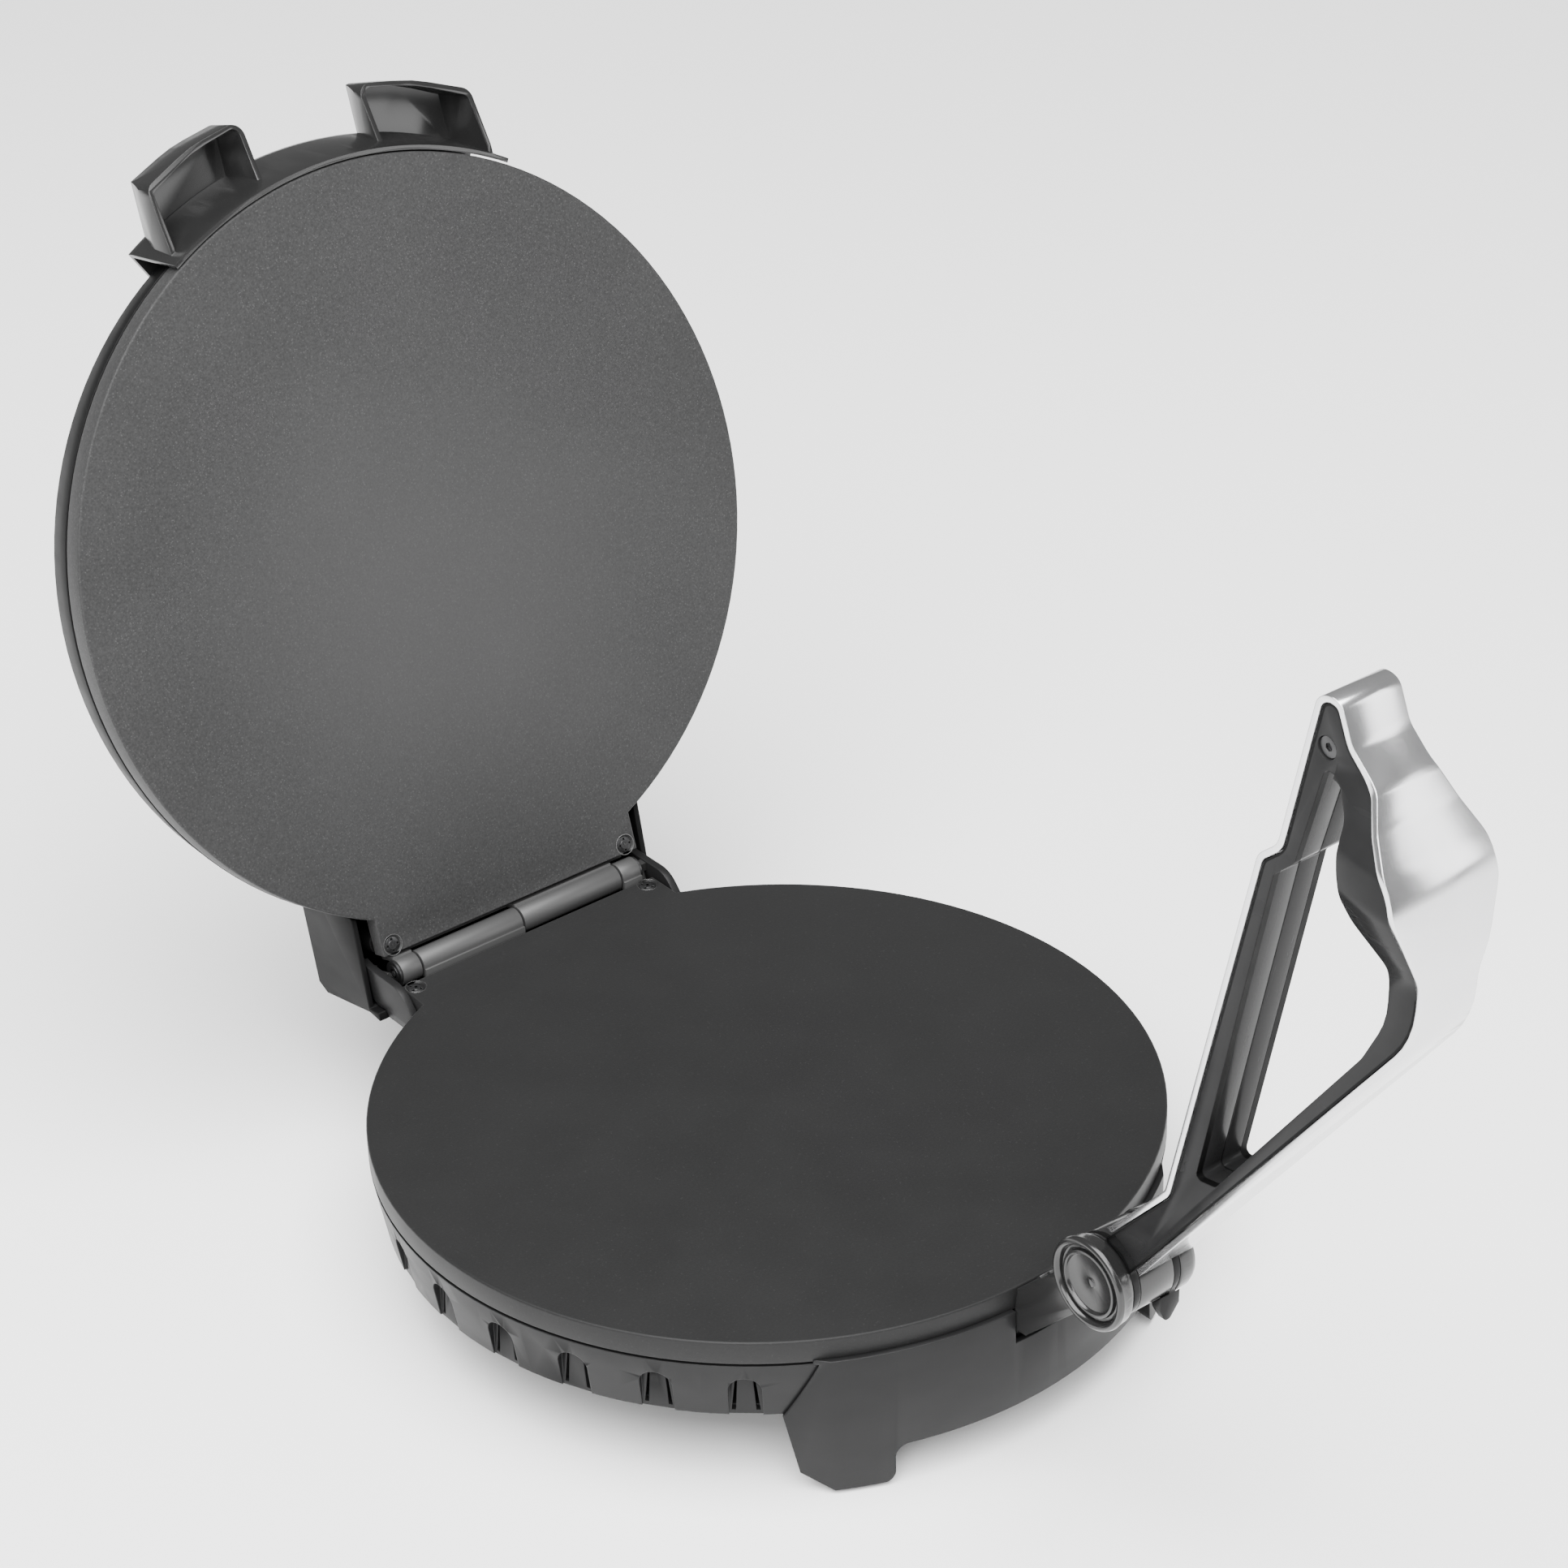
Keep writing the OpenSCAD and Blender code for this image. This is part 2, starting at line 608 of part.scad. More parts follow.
module shield() {
    difference() {
        union() {
            translate([0, 0, -shield_z]) cylinder(r = shield_r, h = shield_t);
            translate([0, 0, -shield_z]) tube(shield_r, shield_r - shield_t, 5);
            for (a = [90, 210, 330]) rotate([0, 0, a])
                translate([shield_r - 10, 0, -shield_z + 0.1])
                    cylinder(r = 3, h = shield_z - plate_web - 0.1);
        }
        translate([0, 0, -shield_z - 1]) cylinder(r = 12, h = 10);
        both_sides() rotate([0, 0, heater_end]) translate([lead_r - 5, -5, -shield_z - 1]) cube([10, 10, 10]);
    }
}
module thermostat() {
    translate([0, 0, -plate_web - 7]) cylinder(r = 8.2, h = 6.8);
    translate([-14, -4, -plate_web - 3]) cube([28, 8, 0.8]);
    for (m = [-1, 1]) translate([m * 5 - 1.5, -0.4, -plate_web - 13]) cube([3, 0.8, 6.2]);
}
module lower_heater() {
    color(colour_steel) heater();
}
module lower_heater_clamps() {
    color(colour_steel) heater_clamps();
}
module lower_shield() {
    color(colour_steel) shield();
}
module lower_thermostat() {
    color(colour_ceramic) thermostat();
}
module upper_heater() {
    color(colour_steel) turned_over() heater();
}
module upper_heater_clamps() {
    color(colour_steel) turned_over() heater_clamps();
}
module upper_shield() {
    color(colour_steel) turned_over() shield();
}
module upper_thermostat() {
    color(colour_ceramic) turned_over() thermostat();
}
module thermal_fuse() {
    color(colour_ceramic) translate([32, 30, -plate_web - 2.7]) rotate([0, 90, 0])
        cylinder(r = 2.5, h = 16, $fn = 32);
    color(colour_ceramic) translate([37, 26.5, -plate_web - 6]) cube([6, 7, 5.8]);
}
module terminal_block() {
    color(colour_ceramic) translate([-18, terminal_y, cover_top + 0.1]) difference() {
        cube([36, 14, 9]);
        for (i = [0:2]) translate([6 + i * 12, 7, 3]) cylinder(r = 2, h = 10);
    }
}
module base_wiring() {
    z = lead_z;
    from = terminal_y + 15.4;
    pin_tip = polar(lead_r, heater_end);
    color("firebrick") {
        wire([[12, from, z], [24, from + 4.6, z], [wire_lane, band_in_r - 21, z],
            [wire_lane, band_in_r - 11, z],
              [wire_lane, hinge_y - 14, z + 3],
              [wire_lane, hinge_y - 5.4, -12], [wire_lane, hinge_y, hinge_z],
              [-hinge_pin_half + 0.2, hinge_y, hinge_z]]);
        wire([[-12, from, z], [-24, from + 6.6, z], [pin_tip.x, pin_tip.y, z],
              [pin_tip.x, pin_tip.y, -plate_web - heater_tube_r - 2]]);
        wire([[0, from - 0.8, z], [0, band_in_r - 3, z], [0, band_in_r + 5, cord_z],
            [0, hinge_y + 14, cord_z]]);
    }
}
// Passages for the leads through the ring and the rear saddle
module lead_passages() {
    translate([wire_lane - 3.5, band_in_r - 24, lead_z - 3.5]) cube([7, 34, 7]);
    translate([-6, band_in_r - 6, band_bottom - 1]) cube([12, 12, 15]);
}
// The lid's lead comes out of the hollow hinge pin and runs over the tongue to the heater
module lid_wiring() {
    rise = hinge_z + 13;
    over = roti_gap + shield_z + 3;
    wall_lane = hump_w / 2 - shell_wall - 2.2;
    pin_tip = polar(lead_r, heater_end);
    color("firebrick") lid_pose() {
        wire([[-wire_lane, hinge_y, hinge_z], [-wire_lane, hinge_y, rise],
            [-wall_lane, tongue_screw_y + 3, rise + 3],
              [-wall_lane, tongue_screw_y - 10, over], [pin_tip.x, pin_tip.y + 3, over],
              [pin_tip.x, pin_tip.y, roti_gap + plate_web + heater_tube_r + 2]]);
        wire([[pin_tip.x + 6, pin_tip.y + 6, over], [0, pin_tip.y + 8, over],
              [-pin_tip.x, pin_tip.y + 3, over],
                  [-pin_tip.x, pin_tip.y, roti_gap + plate_web + heater_tube_r + 2]]);
    }
}
module cord_gland() {
    color(colour_rubber) translate([0, cord_y + seat, cord_z]) rotate([-90, 0, 0]) difference() {
        union() {
            cylinder(r = 8, h = 3);
            cylinder(r1 = 7, r2 = 5.4, h = 16);
            translate([0, 0, -8]) cylinder(r = 4.1, h = 9);
        }
        translate([0, 0, -10]) cylinder(r = 3.3, h = 40);
    }
}

// Screws
module screw_up(len, head_r, head_h) {
    cylinder(r = screw_r - run_fit, h = len);
    cylinder(r = head_r, h = head_h);
}
module cover_screws() {
    color(colour_steel) for (a = cover_screw_angles) rotate([0, 0, a])
        translate([boss_ring_r, 0, band_bottom + seat - 0.6]) screw_up(18, screw_head_r, 1.6);
}
module saddle_screws() {
    color(colour_steel) for (a = saddle_screw_angles) rotate([0, 0, a])
        translate([boss_ring_r, 0, -saddle_drop + 0.2]) screw_up(30, screw_head_r, screw_head_h);
}
module tongue_screw() {
    translate([tongue_screw_x, tongue_screw_y, -18])
        cylinder(r = screw_r - run_fit, h = 18 - screw_head_h + 0.1);
    difference() {
        translate([tongue_screw_x, tongue_screw_y, -screw_head_h - 0.1])
            cylinder(r1 = screw_r - run_fit, r2 = screw_head_r, h = screw_head_h);
        translate([tongue_screw_x, tongue_screw_y, -0.9]) cylinder(r = 1.3, h = 2, $fn = 6);
    }
}
module base_tongue_screws() {
    color(colour_steel) both_sides() tongue_screw();
}
module lid_tongue_screws() {
    color(colour_steel) turned_over() both_sides() tongue_screw();
}
module neck_screws() {
    color(colour_steel) both_sides() translate([neck_screw_x, neck_screw_y, neck_foot_z - 4.4])
        screw_up(7.5, 3.4, 1.8);
}
module grip_screws() {
    color(colour_steel) lid_pose() for (a = [-24, 0, 24]) rotate([0, 0, 270 + a])
        translate([band_in_r + 1, 0, roti_gap + lid_h - 4]) {
            cylinder(r = screw_r - run_fit, h = 6);
            translate([0, 0, 4 + lug_wall + seat]) cylinder(r = 3.4, h = 1.6);
        }
}

// Lid housing with its rear hump, drawn on the closed lid
function lid_pt(s, h) = [hinge_y - s, roti_gap + h];
module lid_cone(d) {
    rotate_extrude($fn = 180) polygon([
        [0, roti_gap + plate_t + band_gap - (d > 0 ? 5 : 0)],
        [plate_r - d, roti_gap + plate_t + band_gap - (d > 0 ? 5 : 0)],
        [plate_r - d, roti_gap + plate_t + band_gap],
            [plate_r - band_taper + 1.2 - d, roti_gap + lid_h - 3 - d],
        [plate_r - band_taper - 2 - d, roti_gap + lid_h - d], [0, roti_gap + lid_h - d]]);
}
function hump_outline(d) = [
    lid_pt(hump_len + 14, lid_h - 3 - d), lid_pt(hump_len + 10, lid_h - d),
    lid_pt(hump_len - 8, hump_h - 5 - d), lid_pt(27, hump_h - 2.2 - d), lid_pt(-6.5 + d, hump_h - d),
    lid_pt(-10.6 + d, hump_h - 4.5), lid_pt(-tail_s + 2.8 + d, 8), lid_pt(-tail_s + d, 1.5 - (d > 0 ? 8 : 0))];
module lid_housing() {
    color(colour_body) lid_pose() difference() {
        union() {
            lid_cone(0);
            side(-hump_w / 2, hump_w / 2) polygon(concat(hump_outline(0),
                [lid_pt(-tail_s + 3.2, 1.5), lid_pt(-tail_s + 4.2, 7.8), lid_pt(25.2, 4.4), lid_pt(40, 11.6),
                 lid_pt(hump_len + 14, 11.6)]));
        }
        difference() {
            union() {
                lid_cone(shell_wall);
                side(-hump_w / 2 + shell_wall, hump_w / 2 - shell_wall)
                    polygon(concat(hump_outline(shell_wall),
                    [lid_pt(30, -20), lid_pt(hump_len + 14, -20)]));
            }
            both_sides() translate([tongue_screw_x, tongue_screw_y, roti_gap + tongue_t + leaf_t + 2 * seat])
                cylinder(r = boss_r, h = 60);
            for (a = [-24, 0, 24]) rotate([0, 0, 270 + a])
                translate([band_in_r + 1, 0, roti_gap + lid_h - 6]) cylinder(r = 4, h = 6);
        }
        translate([0, 0, roti_gap - 20]) cylinder(r = plate_r + 0.3, h = 20 + plate_t + band_gap);
        both_sides() translate([tongue_screw_x, tongue_screw_y, 0]) cylinder(r = screw_r, h = 20);
        for (a = [-24, 0, 24]) rotate([0, 0, 270 + a])
            translate([band_in_r + 1, 0, roti_gap + lid_h - 5]) cylinder(r = screw_r, h = 10);
    }
}
// Lid grip: lip over the plate's edge and two finger cups
module grip_cone(d) {
    rotate_extrude($fn = 180) polygon([
        [0, roti_gap - 5], [plate_r + lip_proud - d, roti_gap - 5], [plate_r + lip_proud - d, roti_gap],
        [plate_r + lip_proud + 4.8 - d, roti_gap + lid_h - 1],
            [plate_r + lip_proud + 4.8 - d, roti_gap + lid_h + 3],
        [0, roti_gap + lid_h + 3]]);
}
function lug_plan(d) =
    let (r = plate_r + lug_reach - d, a0 = asin(lug_in / r), a1 = asin(lug_out / r), am = (a0 + a1) / 2, rm = r + 0.9)
    rounded([[lug_in + d, -130, 0], [lug_out - d, -130, 0], [lug_out - d, -r * cos(a1), 5 - d],
             [rm * sin(am), -rm * cos(am), 60], [lug_in + d, -r * cos(a0), 5 - d]]);
module lug_side(low, high) {
    reach = plate_r + lug_reach + 5;
    side(-100, 100) polygon([
        [-plate_r + 30, roti_gap + high], [-reach, roti_gap + high], [-reach, roti_gap + low],
        [-plate_r - 6, roti_gap + low - 7], [-plate_r + 12, roti_gap + low - 12],
            [-plate_r + 30, roti_gap + low - 12]]);
}
// A lug's sides lean in towards its back wall
module lug_taper(d) {
    lean = 60 * tan(lug_draft);
    rim = roti_gap + lug_rim_h;
    translate([0, -plate_r + 40, rim]) rotate([90, 0, 0]) linear_extrude(100) polygon([
        [lug_in + d - lean, -60], [lug_out - d + lean, -60], [lug_out - d - lean / 2, 30],
            [lug_in + d + lean / 2, 30]]);
}
module lug(d) {
    intersection() {
        linear_extrude(60) polygon(lug_plan(d));
        lug_taper(d);
    }
}
module lid_grip() {
    back = lid_h + lug_wall + seat;
    color(colour_gloss) lid_pose() difference() {
        union() {
            intersection() {
                difference() {
                    grip_cone(0);
                    grip_cone(1.8);
                    translate([0, 0, -50]) cylinder(r = 200, h = 50 + roti_gap);
                }
                grip_sector(grip_angle, 200);
                translate([0, 0, roti_gap]) cylinder(r = 200, h = back);
            }
            intersection() {
                translate([0, 0, roti_gap + lid_h + seat])
                    tube(plate_r + lip_proud + 4.8, band_in_r - 5, lug_wall);
                grip_sector(grip_angle, 200);
            }
            both_sides() difference() {
                intersection() {
                    lug(0);
                    lug_side(lug_rim_h, back);
                }
                intersection() {
                    lug(lug_wall);
                    translate([-100, -300, -1]) cube([200, 300, 1 + roti_gap + lid_h + seat]);
                }
            }
        }
        difference() {
            translate([0, 0, -60]) grip_inner();
            translate([0, 0, roti_gap + lid_h + seat]) cylinder(r = 200, h = 60);
        }
        for (a = [-24, 0, 24]) rotate([0, 0, 270 + a])
            translate([band_in_r + 1, 0, roti_gap + lid_h - 1]) cylinder(r = screw_r + 0.1, h = 10);
    }
}
module grip_inner() {
    translate([0, 0, 60]) intersection() {
        grip_cone(1.8);
        translate([0, 0, -10]) cylinder(r = 200, h = 10 + roti_gap + lid_h + seat);
    }
}
module grip_sector(half, r) {
    translate([0, 0, -20]) linear_extrude(80)
        polygon([[0, 0], polar(r, 270 - half), polar(r * 1.2, 270), polar(r, 270 + half)]);
}

// Neck arm from the base to the lever's pivot
neck_dir = [cos(neck_angle), sin(neck_angle)];
neck_side = [-sin(neck_angle), cos(neck_angle)];
function neck_at(along, off) = [pivot_y, pivot_z] + along * neck_dir + off * neck_side;
neck_up = neck_t / 2 + 0.5;
neck_low = neck_up - neck_t;
neck_inner_y = -(plate_r + 1);
function neck_outline() = [
    [neck_screw_y + 5, neck_foot_z], [neck_screw_y + 5, neck_foot_z + 4.5], [-plate_r + 4, neck_foot_z + 4.5],
    [-plate_r + 4, band_top - 0.2], [neck_inner_y, band_top - 0.2], [neck_inner_y - 1.6, 1.8],
    neck_at(51, neck_up), neck_at(0, neck_up), neck_at(0, neck_low), neck_at(64.5, neck_low),
    [-saddle_r - 0.5, -16.4], [-saddle_r + 3.5, neck_foot_z]];
module lever_neck() {
    color(colour_gloss) difference() {
        union() {
            difference() {
                side(-neck_w / 2, neck_w / 2) polygon(neck_outline());
                on_pivot(-50) cylinder(r = hub_r + 2.4, h = 100);
            }
            side(-eye_w / 2, eye_w / 2) polygon([neck_at(0, neck_up), neck_at(0, neck_low),
                                                 neck_at(30, neck_low), neck_at(30, neck_up)]);
            on_pivot(-eye_w / 2) cylinder(r = hub_r, h = eye_w);
            for (i = [0:2]) side(-neck_w / 2, neck_w / 2)
                polygon([neck_at(24 + i * 7, neck_up - 0.1), neck_at(24 + i * 7, neck_up + 0.8),
                         neck_at(26 + i * 7, neck_up + 0.8), neck_at(26 + i * 7, neck_up - 0.1)]);
        }
        on_pivot(-50) cylinder(r = pivot_pin_r, h = 100);
        on_pivot(-50) translate(polar(limit_r, limit_angle)) cylinder(r = limit_pin_r, h = 100);
        both_sides() translate([neck_screw_x, neck_screw_y, neck_foot_z - 1]) cylinder(r = screw_r, h = 4.5);
    }
}
module pivot_pin() {
    color(colour_steel) on_pivot(-cheek_x1 - 1.4) cylinder(r = pivot_pin_r, h = 2 * cheek_x1 + 2.8);
}
module limit_pin() {
    color(colour_steel) on_pivot(-cheek_x1 + 0.2) translate(polar(limit_r, limit_angle))
        cylinder(r = limit_pin_r, h = 2 * cheek_x1 - 0.4);
}

// Lever: outlines drawn about the pivot, leaning outwards, with a radius at each corner
lever_outline = [
    [8, 10.3, 0], [-30.2, 52.5, 8], [-67.8, 199.6, 8], [-76, 206.6, 8], [-91, 267.4, 6.5],
    [-100.4, 265.2, 5], [-105.4, 252.6, 9], [-116.6, 242.2, 9], [-121.5, 232.3, 12], [-132.8, 216.8, 25],
    [-138.4, 191, 30], [-137, 163.8, 38], [-8, -2.8, 0]];
window_outline = [
    [-93.9, 240.8, 2.5], [-102.2, 239.6, 5], [-108, 231.5, 8], [-109.6, 215.5, 20], [-113.6, 199.8, 14],
    [-123.9, 186.5, 7], [-123.6, 166, 30], [-114, 147.5, 25], [-53, 66, 3], [-43.4, 64.4, 2],
    [-74.2, 194.9, 3], [-82.7, 202.6, 4]];
// Half width of the lever over its height, on the palm side
function flare_outline(d) =
    let (w = lever_w / 2 - d, f = flare_w / 2 - d,
         half = [[w, 182, 20], [f, 209, 12], [f - 0.7, 222, 12], [w, 244, 12], [w, 290, 0]])
    rounded(concat([[-w, 0, 0], [w, 0, 0]], half, [for (i = [4:-1:0]) [-half[i].x, half[i].y, half[i][2]]]));
module lever_side(pts, half) {
    on_pivot(-half) linear_extrude(2 * half) polygon(pts);
}
module lever_widths(d) {
    translate([-lever_w / 2 + d, pivot_y - 400, pivot_z - 100]) cube([lever_w - 2 * d, 800, 500]);
    translate([0, pivot_y - 99, pivot_z]) rotate([90, 0, 0]) linear_extrude(80) polygon(flare_outline(d));
}
module lever_shell() {
    color(colour_silver) difference() {
        intersection() {
            lever_side(rounded(lever_outline), flare_w);
            lever_widths(0);
        }
        lever_side(rounded(inset(lever_outline, band_shell_t)), 2 * flare_w);
        on_pivot(-50) cylinder(r = recess_r + 0.4, h = 100);
        on_pivot(-50) linear_extrude(100) polygon([[0, 0], [60, 0], [60, 30], [8, 30]]);
    }
}
module lever_body(x0) {
    core = inset(lever_outline, band_shell_t + inlay_gap);
    difference() {
        union() {
            intersection() {
                lever_side(rounded(core), flare_w);
                lever_widths(inlay_sink);
                translate([x0, pivot_y - 400, pivot_z - 100]) cube([60, 800, 500]);
            }
            on_pivot(x0 < -1 ? -cheek_x1 : cheek_x0) cylinder(r = hub_r, h = pivot_wall);
        }
        lever_side(rounded(window_outline), 2 * flare_w);
        on_pivot(-cheek_x0 + eps) cylinder(r = hub_r + 0.6, h = 2 * cheek_x0 - 2 * eps);
        for (m = [-1, 1]) on_pivot(m * (cheek_x1 + 10) - 10) cylinder(r = recess_r, h = 20);
        on_pivot(-neck_w / 2 - cheek_gap) rotate([0, 0, neck_angle + lever_swing])
            translate([0, neck_low - 0.6]) cube([80, neck_t + 1.2, neck_w + 2 * cheek_gap]);
        on_pivot(-50) cylinder(r = bush_r, h = 100);
        for (m = [-1, 1]) on_pivot(m < 0 ? -cheek_x1 - 1 : cheek_x0 - 1) limit_slot(pivot_wall + 2);
        translate([-lever_w / 2 - 1, pivot_y + lever_screw_at.x, pivot_z + lever_screw_at.y])
            rotate([0, 90, 0]) cylinder(r = lever_screw_r + 0.3, h = 1 + inlay_sink + 0.8 + lever_screw_h);
    }
}
bush_r = pivot_pin_r + 1.5;
lever_screw_at = [-94.4, 248];
lever_screw_r = 3.6;
lever_screw_h = 1.6;
module limit_slot(h) {
    // The curved run is a hair narrower than the round ends, so that they cross instead of meeting at a tangent
    half = limit_pin_r + seat - 2 * eps;
    rotate([0, 0, limit_angle]) rotate_extrude(angle = lever_swing)
        translate([limit_r - half, 0]) square([2 * half, h]);
    for (a = [limit_angle, limit_angle + lever_swing]) translate(polar(limit_r, a))
        cylinder(r = limit_pin_r + seat, h = h);
}
module lever_frame_left() {
    color(colour_inlay) intersection() {
        lever_body(-60);
        translate([-60, pivot_y - 400, pivot_z - 100]) cube([60 - 0.05, 800, 500]);
    }
}
module lever_frame_right() {
    color(colour_inlay) {
        lever_body(0.05);
        toe();
    }
}
// Tongue that hangs from the right cheek, clear of the neck's eye and of the cap
module toe() {
    difference() {
        intersection() {
            on_pivot(0) linear_extrude(20) polygon([[-7.5, -10], [-10.2, -21], [-12.6, -23], [-13, -8]]);
            translate([0, pivot_y, pivot_z]) rotate([90, 0, 0]) linear_extrude(30) polygon(rounded([
                [4, -6, 0], [4, -15, 0], [7, -22.4, 2], [12.6, -15, 0], [12.6, -6, 0]]));
        }
        on_pivot(-1) cylinder(r = hub_r + 0.6, h = 1 + cheek_x0);
        on_pivot(cheek_x1 - eps) cylinder(r = end_cap_r + cheek_gap, h = 20);
        on_pivot(-1) cylinder(r = hub_r - 1, h = 30);
    }
}
module lever_screw() {
    color(colour_steel) translate([-lever_w / 2 + inlay_sink + 0.8, pivot_y + lever_screw_at.x, pivot_z + lever_screw_at.y])
        rotate([0, 90, 0]) difference() {
            cylinder(r = lever_screw_r, h = lever_screw_h);
            translate([0, 0, -1]) cylinder(r = 1.5, h = 2, $fn = 6);
        }
}
module pivot_bushes() {
    color(colour_ceramic) both_sides() on_pivot(cheek_x0) tube(bush_r, pivot_pin_r + run_fit, pivot_wall);
}
module cap(r) {
    x0 = cheek_x1 + 0.1;
    x1 = lever_w / 2 + cap_h;
    rotate_extrude() polygon([
        [0, cheek_x1 + 1.7], [pivot_pin_r + cheek_gap, cheek_x1 + 1.7], [pivot_pin_r + cheek_gap, x0],
        [r - 2.4, x0], [r - 2.4, lever_w / 2 + 0.3], [r - 0.8, lever_w / 2 + 0.5],
        [r - 0.3, x1 - 2.6], [r, x1 - 1.8], [r - 0.4, x1 - 0.5], [r - 1.4, x1],
        [r - 2.4, x1 - 0.2], [r - 3.2, x1 - 1.4], [r - 3.4, x1 - 2.6], [r - 4.8, x1 - 2.6],
        [r - 5, x1 - 1], [r - 6.2, x1 - 0.9], [r - 6.8, x1 - 2.2], [2, x1 - 2.8],
        [1.5, x1 - 2.2], [0, x1 - 2]]);
}
// The right cap has the barrel's own width and a domed end
module end_cap(r) {
    x0 = cheek_x1 + 0.1;
    x1 = lever_w / 2 + cap_h;
    rotate_extrude() polygon([
        [0, cheek_x1 + 1.7], [pivot_pin_r + cheek_gap, cheek_x1 + 1.7], [pivot_pin_r + cheek_gap, x0],
        [r - 0.3, x0], [r, x0 + 0.3], [r - 0.2, x1 - 3], [r - 1, x1 - 1], [r - 2.6, x1],
        [r - 4, x1], [r - 4.4, x1 - 0.8], [2, x1 - 1.4], [0, x1 - 1.4]]);
}
module pivot_cap_right() {
    color(colour_gloss) on_pivot(0) end_cap(end_cap_r);
}
module pivot_cap_left() {
    color(colour_gloss) on_pivot(0) mirror([0, 0, 1]) cap(cap_r);
}

lower_plate();
base_housing();
front_saddle();
rear_saddle();
bottom_cover();
rubber_feet();
lower_heater();
lower_heater_clamps();
lower_shield();
lower_thermostat();
thermal_fuse();
terminal_block();
base_wiring();
cord_gland();
cover_screws();
saddle_screws();
base_tongue_screws();
base_hinge_leaf();
hinge_pin();
hinge_clips();
lever_neck();
neck_screws();
pivot_pin();
limit_pin();
upper_plate();
lid_housing();
lid_grip();
grip_screws();
upper_heater();
upper_heater_clamps();
upper_shield();
upper_thermostat();
lid_wiring();
lid_tongue_screws();
lid_hinge_leaf();
lever_shell();
lever_frame_left();
lever_frame_right();
lever_screw();
pivot_bushes();
pivot_cap_left();
pivot_cap_right();
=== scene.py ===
"""Looks of the electric roti maker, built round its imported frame."""

import json
import logging
import math
from dataclasses import dataclass
from enum import Enum
from typing import Any, Optional, Sequence

import bmesh
import bpy
from mathutils import Euler, Matrix, Vector

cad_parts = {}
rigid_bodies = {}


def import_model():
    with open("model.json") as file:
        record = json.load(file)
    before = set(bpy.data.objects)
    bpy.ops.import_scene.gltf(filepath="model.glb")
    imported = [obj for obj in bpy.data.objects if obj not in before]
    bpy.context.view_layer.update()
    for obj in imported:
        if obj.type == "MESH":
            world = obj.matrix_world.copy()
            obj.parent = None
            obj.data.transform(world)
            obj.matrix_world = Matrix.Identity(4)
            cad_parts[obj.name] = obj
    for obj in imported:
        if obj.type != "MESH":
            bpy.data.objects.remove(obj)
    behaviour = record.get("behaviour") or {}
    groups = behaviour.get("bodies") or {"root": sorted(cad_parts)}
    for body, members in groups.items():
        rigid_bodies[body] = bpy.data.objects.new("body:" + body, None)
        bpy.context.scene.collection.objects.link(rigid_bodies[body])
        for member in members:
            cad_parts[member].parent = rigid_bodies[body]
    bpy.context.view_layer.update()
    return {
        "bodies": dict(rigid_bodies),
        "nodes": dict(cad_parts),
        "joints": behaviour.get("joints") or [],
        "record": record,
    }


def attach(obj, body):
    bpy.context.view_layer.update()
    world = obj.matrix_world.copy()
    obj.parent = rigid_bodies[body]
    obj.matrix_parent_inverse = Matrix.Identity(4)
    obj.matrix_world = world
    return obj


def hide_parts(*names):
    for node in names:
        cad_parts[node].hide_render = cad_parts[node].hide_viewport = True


LOG = logging.getLogger("roti_maker")
MM = 0.001

# Distances under which points count as one, in metres
WELD = 0.004 * MM
SPUN_WELD = 0.002 * MM
# Angles in degrees: of a joint that counts as flat, of a sharp edge, of an edge that is rounded
FLAT_ANGLE = 0.6
SHARP_ANGLE = 32.0
ROUNDED_ANGLE = 35.0

Colour = tuple[float, float, float]
Triple = tuple[float, float, float]
Pair = tuple[float, float]


class Body(Enum):
    """The CAD bodies that a piece can ride on."""

    BASE = "base"
    LID = "lid"
    LEVER = "lever"


# ---------------------------------------------------------------- finishes


